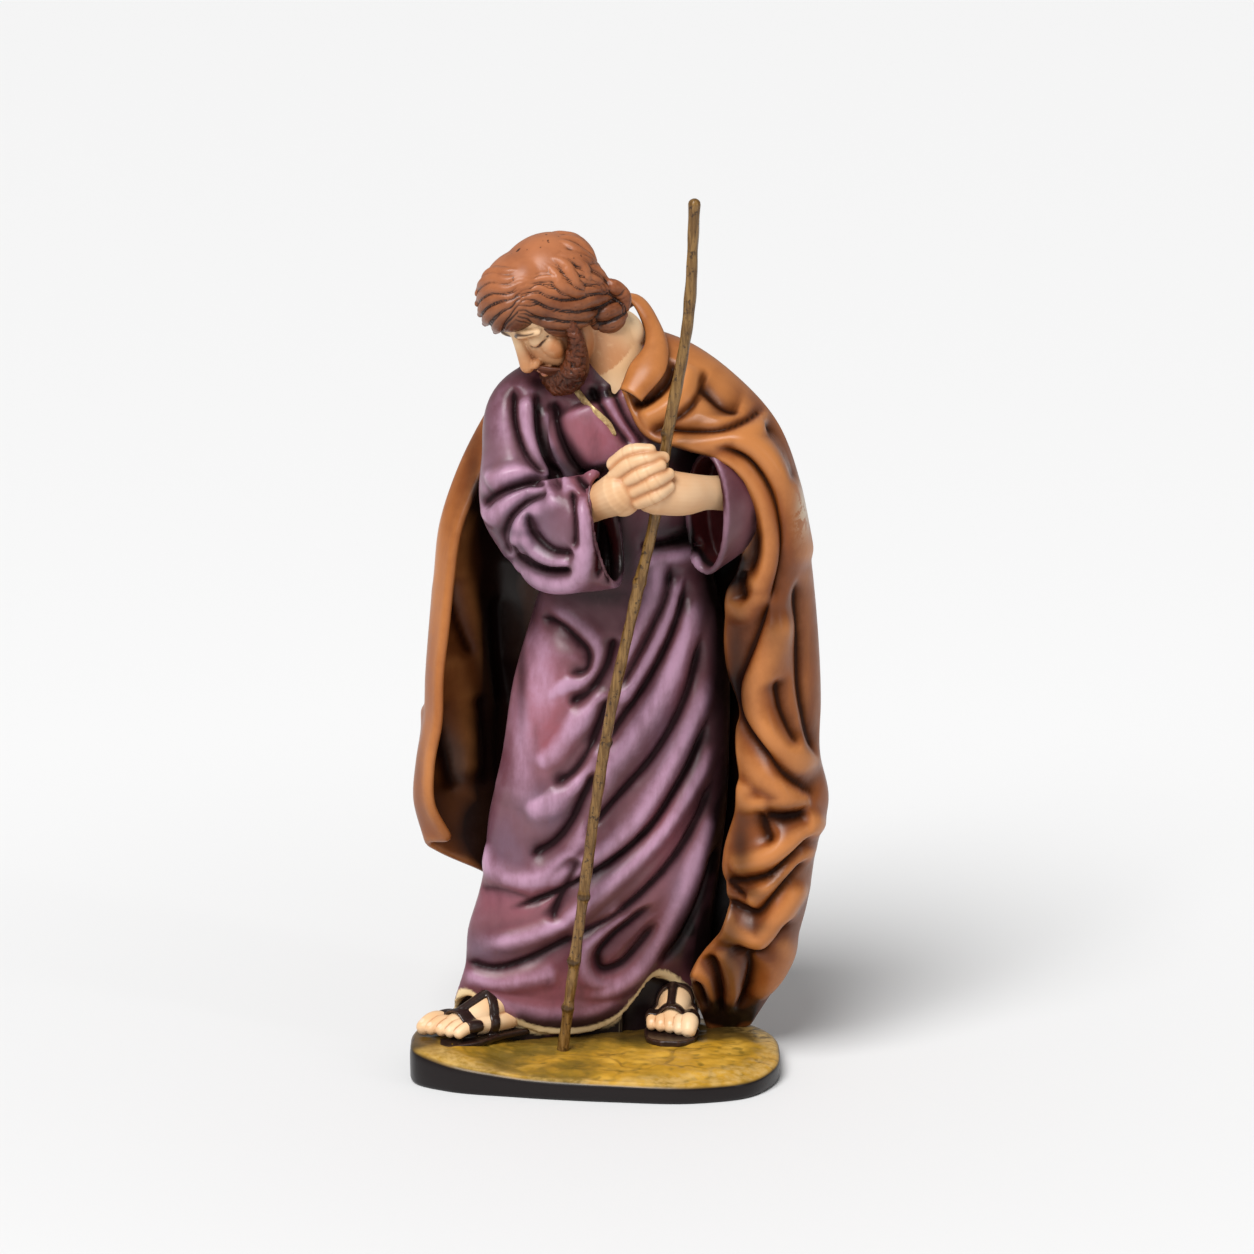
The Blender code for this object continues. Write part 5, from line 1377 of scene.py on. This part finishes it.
cloakShade = [
    (69, 262, 7, 20, 0.9), (70, 210, 6, 40, 0.8), (68, 60, 7, 40, 0.8), (80, 24, 14, 12, 0.8),
    (88, 236, 6, 16, 0.5), (73, 120, 6, 22, 0.8), (92, 136, 12, 6, 0.8), (63, 40, 5, 22, 0.8),
    (76, 44, 5, 18, 0.6), (90, 104, 8, 5, 0.5), (78, 96, 8, 4, 0.7), (80, 78, 8, 4, 0.6),
    (-50, 240, 12, 60, 1.0), (-50, 170, 11, 60, 1.0), (-56, 118, 14, 12, 0.9), (-60, 300, 6, 30, 0.6),
]
# Painted highlight where the cloak catches the light
cloakGlow = [
    (52, 350, 26, 22, 1.0), (84, 318, 14, 22, 0.8), (104, 200, 12, 46, 0.8), (-76, 262, 8, 44, 0.9),
    (90, 100, 16, 18, 0.7), (108, 250, 8, 30, 0.5), (-76, 150, 10, 30, 0.5),
]
cloakWorn = [(104, 293, 4, 11, 1.0)]
cloakLit = [
    (50, 350, 30, 22, 1.0), (80, 326, 14, 16, 0.6), (106, 230, 5, 40, 0.35), (-80, 250, 5, 46, 0.5),
    (-84, 160, 4, 30, 0.5), (84, 170, 5, 16, 0.3), (78, 152, 5, 10, 0.4), (100, 158, 8, 5, 0.4),
    (92, 118, 12, 3, 0.4), (66, 84, 4, 8, 0.4),
]


def smoothShade(made):
    made.data.polygons.foreach_set("use_smooth", [True] * len(made.data.polygons))
    made.data.update()


def finished(made, finish, node="figure"):
    # Paints a piece and hangs it on the frame
    made.data.materials.clear()
    made.data.materials.append(finish)
    smoothShade(made)
    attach(made, "root")
    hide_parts(node)
    made.data.calc_loop_triangles()
    print("made", made.name, len(made.data.loop_triangles), "triangles")
    return made


# Finishes

class Finish:
    # A painted surface, built up in layers of node mixes

    def __init__(self, name, roughness, coat=0.0, coatRoughness=0.2):
        self.material = bpy.data.materials.new(name)
        self.material.use_nodes = True
        self.tree = self.material.node_tree
        self.shader = self.tree.nodes["Principled BSDF"]
        self.shader.inputs["Roughness"].default_value = roughness
        self.shader.inputs["Specular IOR Level"].default_value = 0.24
        self.shader.inputs["Coat Weight"].default_value = coat
        self.shader.inputs["Coat Roughness"].default_value = coatRoughness
        self.place = self.tree.nodes.new("ShaderNodeTexCoord").outputs["Object"]

    def put(self, socket, value):
        # A value is a number, a colour, another node's output, or the name of an attribute
        if isinstance(value, str):
            value = self.attribute(value)
        if isinstance(value, bpy.types.NodeSocket):
            self.tree.links.new(value, socket)
        elif isinstance(value, tuple):
            socket.default_value = (*value, 1.0)[:len(socket.default_value)]
        else:
            socket.default_value = value

    def node(self, kind, inputs, **settings):
        made = self.tree.nodes.new("ShaderNode" + kind)
        for name, value in settings.items():
            setattr(made, name, value)
        for socket, value in inputs.items():
            self.put(made.inputs[socket], value)
        return made

    def attribute(self, name):
        return self.node("Attribute", {}, attribute_name=name).outputs["Fac"]

    def noise(self, scale, detail=3.0, rough=0.55, stretch=(1, 1, 1)):
        place = self.node("Mapping", {"Scale": stretch, "Vector": self.place}).outputs[0]
        inputs = {"Scale": scale, "Detail": detail, "Roughness": rough, "Vector": place}
        return self.node("TexNoise", inputs).outputs["Fac"]

    def cells(self, scale):
        wobble = self.node("TexNoise", {"Scale": scale * 1.6, "Vector": self.place}).outputs["Color"]
        inputs = {0: wobble, 1: (0.6 / scale,) * 3, 2: self.place}
        warp = self.node("VectorMath", inputs, operation="MULTIPLY_ADD").outputs[0]
        made = self.node("TexVoronoi", {"Scale": scale, "Vector": warp}, feature="DISTANCE_TO_EDGE")
        return made.outputs["Distance"]

    def math(self, operation, a, b=0.0, clamp=False):
        return self.node("Math", {0: a, 1: b}, operation=operation, use_clamp=clamp).outputs[0]

    def plus(self, first, *others):
        for other in others:
            first = self.math("ADD", first, other)
        return first

    def times(self, first, *others):
        for other in others:
            first = self.math("MULTIPLY", first, other)
        return first

    def eased(self, value, low, high, top=1.0):
        inputs = {"From Min": low, "From Max": high, "To Max": top, "Value": value}
        return self.node("MapRange", inputs, interpolation_type="SMOOTHSTEP").outputs["Result"]

    def mix(self, factor, a, b):
        return self.node("Mix", {0: factor, 6: a, 7: b}, data_type="RGBA").outputs[2]

    def lay(self, colour, *amounts):
        # A layer of colour over what is there, as strong as all the amounts multiplied
        self.colour = self.mix(self.times(*amounts), self.colour, colour)

    def carved(self, fine, share):
        # How high and how low a place looks, roughened by the brush: the high sets the painted highlight, the
        # low the dark wash and painted shade
        form = self.plus(self.times("relief", share), self.times("raised", 0.5))
        brushed = self.times(self.math("SUBTRACT", fine, 0.5), 0.5)
        low = self.plus(self.math("SUBTRACT", self.times("wash", 0.5), form), brushed)
        return self.plus(form, "lit", brushed), low

    def distance(self):
        return self.node("VectorMath", {0: self.place}, operation="LENGTH").outputs["Value"]

    def dull(self, low):
        # Less shine where the dark wash and painted shade lie thick
        shine = self.math("SUBTRACT", 0.27, self.eased(low, 0.2, 1.2, 0.25))
        self.put(self.shader.inputs["Specular IOR Level"], shine)

    def finish(self, bumps=(), roughness=None):
        self.put(self.shader.inputs["Base Color"], self.colour)
        if roughness is not None:
            self.put(self.shader.inputs["Roughness"], roughness)
        last = None
        for height, strength, distance in bumps:
            inputs = {"Strength": strength, "Distance": distance, "Height": height}
            if last is not None:
                inputs["Normal"] = last
            last = self.node("Bump", inputs).outputs["Normal"]
        if last is not None:
            self.put(self.shader.inputs["Normal"], last)
        return self.material


tunicPaint = {
    "lilac": (0.168, 0.074, 0.088),
    "plum": (0.100, 0.030, 0.040),
    "pink": (0.300, 0.088, 0.112),
    "grey": (0.160, 0.098, 0.145),
    "light": (0.450, 0.255, 0.365),
    "deep": (0.042, 0.015, 0.019),
    "wash": (0.012, 0.005, 0.006),
    "black": (0.006, 0.003, 0.003),
    "gold": (0.760, 0.580, 0.330),
    "rubbed": (0.300, 0.170, 0.060),
    "maroon": (0.040, 0.005, 0.006),
    "roughness": 0.36,
    "coat": 0.06,
}


def paintTunic():
    c = tunicPaint
    paint = Finish("plum and lilac paint", c["roughness"], c["coat"], 0.22)
    broad, fine, grain = paint.noise(24, 3), paint.noise(160, 4, 0.65), paint.noise(900, 3)
    streak = paint.noise(90, 4, 0.6, (1.0, 1.0, 0.35))
    paint.colour = paint.mix(paint.eased(broad, 0.35, 0.68), c["plum"], c["lilac"])
    paint.lay(c["pink"], "pink", paint.eased(streak, 0.1, 0.6, 0.95))
    paint.lay(c["grey"], "grey", paint.eased(streak, 0.1, 0.6, 0.9))
    # Painted highlight on what stands out and is lit, with the figure's dry-brushing; its dark wash and
    # painted shade in low places
    high, low = paint.carved(fine, 0.85)
    broken = paint.plus(paint.eased(streak, 0.3, 0.62, 0.5), 0.5)
    paint.lay(c["light"], paint.eased(high, 0.05, 1.25, 0.98), broken)
    paint.lay(c["deep"], paint.eased(low, -0.2, 0.95, 0.8))
    paint.lay(c["wash"], paint.eased(low, 0.75, 1.6, 0.9))
    # Near black where the figure is shut in and where shade falls: painted shade over its own dark paint
    shut = paint.math("ADD", paint.eased("hollow", 0.24, 0.55, 0.9), "shade", True)
    paint.lay(c["black"], shut, paint.eased(fine, 0.05, 0.4), 0.97)
    paint.lay(c["maroon"], "inside")
    paint.lay(paint.mix(paint.eased(streak, 0.55, 0.85), c["gold"], c["rubbed"]), "band")
    paint.dull(low)
    rough = paint.plus(paint.eased(fine, 0.2, 0.8, 0.14), c["roughness"] - 0.08)
    return paint.finish([(fine, 0.12, 0.0006), (grain, 0.08, 0.0002)], rough)


cloakPaint = {
    "brown": (0.245, 0.062, 0.009),
    "russet": (0.150, 0.038, 0.008),
    "glow": (0.400, 0.135, 0.030),
    "light": (0.500, 0.190, 0.055),
    "deep": (0.055, 0.013, 0.003),
    "wash": (0.014, 0.004, 0.002),
    "black": (0.005, 0.002, 0.002),
    "lining": (0.190, 0.055, 0.013),
    "tan": (0.620, 0.500, 0.360),
    "roughness": 0.36,
    "coat": 0.05,
}


def paintCloak():
    c = cloakPaint
    paint = Finish("brown cloak paint", c["roughness"], c["coat"], 0.22)
    broad, fine, grain = paint.noise(20, 3), paint.noise(150, 4, 0.65), paint.noise(900, 3)
    streak = paint.noise(70, 4, 0.6, (1.0, 1.0, 0.3))
    paint.colour = paint.mix(paint.eased(broad, 0.3, 0.7), c["russet"], c["brown"])
    paint.lay(c["lining"], paint.eased("lining", 0.4, 0.9))
    # Painted highlight where the cloak is lit
    paint.lay(c["glow"], "glow", paint.eased(streak, 0.2, 0.7, 0.8))
    # Painted highlight on what stands out, with the figure's dry-brushing; its dark wash and painted shade in
    # low places
    high, low = paint.carved(fine, 0.8)
    paint.lay(c["light"], paint.eased(high, 0.0, 1.3, 0.9))
    paint.lay(c["deep"], paint.eased(low, -0.1, 1.0, 0.75))
    paint.lay(c["wash"], paint.eased(low, 0.75, 1.6, 0.9))
    # Near black where the cloak is shut in and where shade falls: painted shade over its own dark paint
    shut = paint.math("ADD", paint.eased("hollow", 0.24, 0.55, 0.95), "shade", True)
    paint.lay(c["black"], shut, 0.96)
    paint.lay(c["tan"], "worn", paint.eased(fine, 0.42, 0.5))
    paint.dull(low)
    rough = paint.plus(paint.eased(fine, 0.2, 0.8, 0.14), c["roughness"] - 0.07)
    return paint.finish([(fine, 0.12, 0.0006), (streak, 0.1, 0.0008), (grain, 0.08, 0.0002)], rough)


fleshPaint = {
    "skin": (0.720, 0.440, 0.230),
    "pale": (0.830, 0.600, 0.370),
    "orange": (0.420, 0.120, 0.022),
    "fold": (0.400, 0.135, 0.038),
    "brow": (0.055, 0.018, 0.008),
    "lips": (0.520, 0.190, 0.130),
    "nail": (0.840, 0.590, 0.400),
    "roughness": 0.42,
    "coat": 0.12,
}


def paintFlesh():
    c = fleshPaint
    paint = Finish("flesh paint", c["roughness"], c["coat"], 0.3)
    broad, fine, grain = paint.noise(40, 2), paint.noise(260, 4, 0.6), paint.noise(1100, 3)
    paint.colour = paint.mix(paint.eased(broad, 0.3, 0.7), c["skin"], c["pale"])
    # Warm painted shade in the skin's recesses: between the fingers, between the toes, under the brows, nose
    # and chin
    paint.lay(c["fold"], paint.eased("hollow", 0.05, 0.8, 0.8))
    paint.lay(c["orange"], "blush", paint.eased(fine, 0.0, 0.5, 0.8))
    paint.lay(c["brow"], "beardShade", 0.9)
    paint.lay(c["lips"], "lips", 0.8)
    paint.lay(c["nail"], "nail")
    paint.lay(c["brow"], paint.math("MAXIMUM", "brow", "lash"), paint.eased(fine, 0.1, 0.4, 0.95))
    rough = paint.plus(paint.eased(fine, 0.2, 0.8, 0.1), c["roughness"] - 0.05)
    return paint.finish([(fine, 0.06, 0.0004), (grain, 0.05, 0.0002)], rough)


hairPaint = {
    "chestnut": (0.200, 0.055, 0.018),
    "light": (0.400, 0.140, 0.055),
    "dark": (0.016, 0.004, 0.002),
    "pick": (0.050, 0.016, 0.008),
    "roughness": 0.4,
    "coat": 0.15,
}
beardPaint = {
    "chestnut": (0.045, 0.011, 0.004),
    "light": (0.120, 0.030, 0.009),
    "dark": (0.010, 0.004, 0.003),
    "pick": (0.014, 0.005, 0.003),
    "roughness": 0.42,
    "coat": 0.12,
}


def paintHair(name, c):
    paint = Finish(name, c["roughness"], c["coat"], 0.25)
    broad, fine = paint.noise(60, 3), paint.noise(420, 4, 0.6)
    paint.colour = paint.mix(paint.eased(broad, 0.3, 0.7), c["chestnut"], c["light"])
    # Painted highlight on the crown and on raised locks; dark wash and painted shade in the grooves and low
    # down
    paint.lay(c["light"], "crown", 0.5)
    brushed = paint.math("SUBTRACT", fine, 0.5)
    paint.lay(c["light"], paint.eased(paint.plus(paint.times("raised", 0.7), brushed), 0.0, 0.9, 0.7))
    low = paint.plus(paint.times("raised", -1.0), paint.times(brushed, 0.4), paint.times("deep", 0.45))
    paint.lay(c["dark"], paint.eased(low, 0.0, 0.75, 0.95))
    paint.lay(c["dark"], "deep", 0.5)
    paint.lay(c["pick"], paint.eased(paint.noise(330, 1), 0.70, 0.76), "crown")
    return paint.finish([(fine, 0.15, 0.0005)])


sandalPaint = {"leather": (0.018, 0.008, 0.006), "worn": (0.060, 0.026, 0.014), "roughness": 0.3, "coat": 0.3}


def paintSandals():
    c = sandalPaint
    paint = Finish("sandal paint", c["roughness"], c["coat"])
    fine = paint.noise(300, 4, 0.6)
    edge = paint.plus("raised", paint.math("SUBTRACT", fine, 0.5))
    paint.colour = paint.mix(paint.eased(edge, 0.15, 0.9, 0.8), c["leather"], c["worn"])
    return paint.finish([(fine, 0.15, 0.0004)])


groundPaint = {
    "ochre": (0.500, 0.262, 0.022),
    "yellow": (0.700, 0.400, 0.060),
    "olive": (0.165, 0.105, 0.014),
    "rim": (0.620, 0.400, 0.130),
    "side": (0.006, 0.003, 0.003),
    "vein": (0.070, 0.036, 0.008),
    "under": (0.030, 0.016, 0.006),
    "roughness": 0.38,
    "coat": 0.12,
}


def paintGround():
    c = groundPaint
    paint = Finish("painted ground", c["roughness"], c["coat"], 0.2)
    broad, fine = paint.noise(28, 4, 0.6), paint.noise(240, 4, 0.6)
    paint.colour = paint.mix(paint.eased(broad, 0.34, 0.62), c["olive"], c["ochre"])
    paint.lay(c["yellow"], paint.eased(paint.noise(45, 3), 0.5, 0.72, 0.8))
    paint.lay(c["olive"], paint.eased(paint.math("SUBTRACT", fine, "raised"), 0.5, 1.2, 0.7))
    veins = paint.times(paint.eased(paint.cells(34), 0.05, 0.012), paint.eased(paint.noise(30, 2), 0.5, 0.66))
    paint.lay(c["vein"], veins, 0.45)
    # Painted shade under the figure and the hem, and the painted highlight round the top's edge
    paint.lay(c["under"], "under", 0.85)
    paint.lay(c["rim"], "rim", paint.eased(fine, 0.3, 0.7, 0.8))
    paint.colour = paint.mix("top", c["side"], paint.colour)
    return paint.finish([(fine, 0.2, 0.0006), (veins, -0.4, 0.0006)])


staffPaint = {
    "wood": (0.110, 0.052, 0.011),
    "light": (0.230, 0.125, 0.036),
    "dark": (0.020, 0.008, 0.003),
    "roughness": 0.34,
    "coat": 0.3,
}


def paintStaff():
    c = staffPaint
    paint = Finish("painted branch", c["roughness"], c["coat"])
    fine, streak = paint.noise(420, 4, 0.6), paint.noise(700, 4, 0.6, (1, 1, 0.12))
    paint.colour = paint.mix(paint.eased(streak, 0.38, 0.66), c["wood"], c["light"])
    specks = paint.math("MAXIMUM", paint.eased(fine, 0.56, 0.68), paint.eased("knot", 0.3, 0.9, 0.8))
    paint.lay(c["dark"], specks, 0.85)
    return paint.finish([(streak, 0.3, 0.0003), (fine, 0.2, 0.0003)])


# Gold braid round the neck opening, laid on the chest

trimSizes = {"radius": 2.3, "proud": -0.1}
trimLine = [(-13, 354), (-8, 347.5), (-2, 341.5), (3, 337), (7, 333), (9, 329)]


def onFront(tree, x, z):
    # The first point of a surface behind a place on the front
    hit = tree.ray_cast(Vector((x * unit, -0.2, z * unit)), Vector((0, 1, 0)))
    return None if hit[0] is None else np.array(hit[0]) / unit


def makeTrim(cloth, gold):
    tree = treeOf(cloth.data)
    spots = [onFront(tree, x, z) for x, z in along(trimLine, 24)]
    spots = np.array([s for s in spots if s is not None])
    spots[:, 1] = relaxed(spots[:, 1], lineEnds(len(spots)), 6)
    radii = [trimSizes["radius"], 0.8 * trimSizes["radius"]]
    made = meshObject("neck_trim", tube(spots - (0, trimSizes["proud"], 0), radii, 60, 14, flat=0.42))
    return finished(made, gold)


def paintGold():
    paint = Finish("gold paint", 0.32, 0.2)
    fine = paint.noise(300, 4, 0.6)
    paint.shader.inputs["Metallic"].default_value = 0.35
    paint.colour = paint.mix(paint.eased(fine, 0.35, 0.7), (0.62, 0.44, 0.20), (0.22, 0.10, 0.04))
    return paint.finish([(fine, 0.2, 0.0004)])


# Studio

studio = {
    "target": (0.016, 0.0, 0.229),
    "distance": 2.0,
    "elevation": 11,
    "lens": 36 * 4000 / 1254,
    "floor": (0.84, 0.84, 0.84),
    "nearFloorShade": (0.77, 0.77, 0.77),
    "world": 0.33,
    "overhead": 3.3,
    "sunAngle": 34,
    "reach": 40.0,
    "overheadWay": (0.35, 0.75, -1.0),
}
# Lamps: where each stands, what it looks at, its size and its power
lamps = {
    "key": ((-0.9, -1.5, 1.2), (0, 0, 0.22), (0.3, 0.6), 4.0),
    "fill": ((1.5, -1.0, 0.8), (0, 0, 0.2), (0.15, 0.8), 2.2),
}


def areaLight(name, place, aim, size, power):
    data = bpy.data.lights.new(name, "AREA")
    data.shape, data.size, data.size_y = "RECTANGLE", size[0], size[1]
    data.energy = power
    made = bpy.data.objects.new(name, data)
    made.location = place
    made.rotation_euler = (Vector(aim) - Vector(place)).to_track_quat("-Z", "Y").to_euler()
    bpy.context.scene.collection.objects.link(made)


def makeStudio():
    scene = bpy.context.scene
    scene.view_settings.view_transform = "Standard"
    mesh = bpy.data.meshes.new("floor")
    half = studio["reach"]
    corners = [(-half, -half, 0), (half, -half, 0), (half, half, 0), (-half, half, 0)]
    mesh.from_pydata(corners, [], [(0, 1, 2, 3)])
    floor = bpy.data.objects.new("floor", mesh)
    scene.collection.objects.link(floor)
    paint = Finish("pale floor", 0.75)
    # The floor is painted darker near the figure: painted shade against the lamps' brighter pool there
    paint.colour = paint.mix(paint.eased(paint.distance(), 0.1, 0.9), studio["nearFloorShade"], studio["floor"])
    mesh.materials.append(paint.finish())
    smoothShade(floor)
    world = bpy.data.worlds.new("studio")
    world.use_nodes = True
    world.node_tree.nodes["Background"].inputs["Color"].default_value = (1, 1, 1, 1)
    world.node_tree.nodes["Background"].inputs["Strength"].default_value = studio["world"]
    scene.world = world
    sun = bpy.data.lights.new("overhead", "SUN")
    sun.energy, sun.angle = studio["overhead"], math.radians(studio["sunAngle"])
    overhead = bpy.data.objects.new("overhead", sun)
    overhead.rotation_euler = Vector(studio["overheadWay"]).to_track_quat("-Z", "Y").to_euler()
    scene.collection.objects.link(overhead)
    for name, lamp in lamps.items():
        areaLight(name, *lamp)
    data = bpy.data.cameras.new("camera")
    data.sensor_width, data.lens = 36, studio["lens"]
    camera = bpy.data.objects.new("camera", data)
    lift = math.radians(studio["elevation"])
    target = Vector(studio["target"])
    camera.location = target + studio["distance"] * Vector((0, -math.cos(lift), math.sin(lift)))
    camera.rotation_euler = (target - camera.location).to_track_quat("-Z", "Y").to_euler()
    scene.collection.objects.link(camera)
    scene.camera = camera


def main():
    flesh, wool, cloth = paintFlesh(), paintCloak(), paintTunic()
    tunic = makeTunic(cloth)
    makeTrim(tunic, paintGold())
    makeCloak(wool)
    makeCollar(wool)
    makeHead(flesh)
    makeHair(paintHair("hair paint", hairPaint))
    makeBeard(paintHair("beard paint", beardPaint))
    makeHands(flesh)
    makeFeet(flesh, paintSandals())
    makeGround(paintGround())
    makeStaff(paintStaff())
    makeStudio()


main()
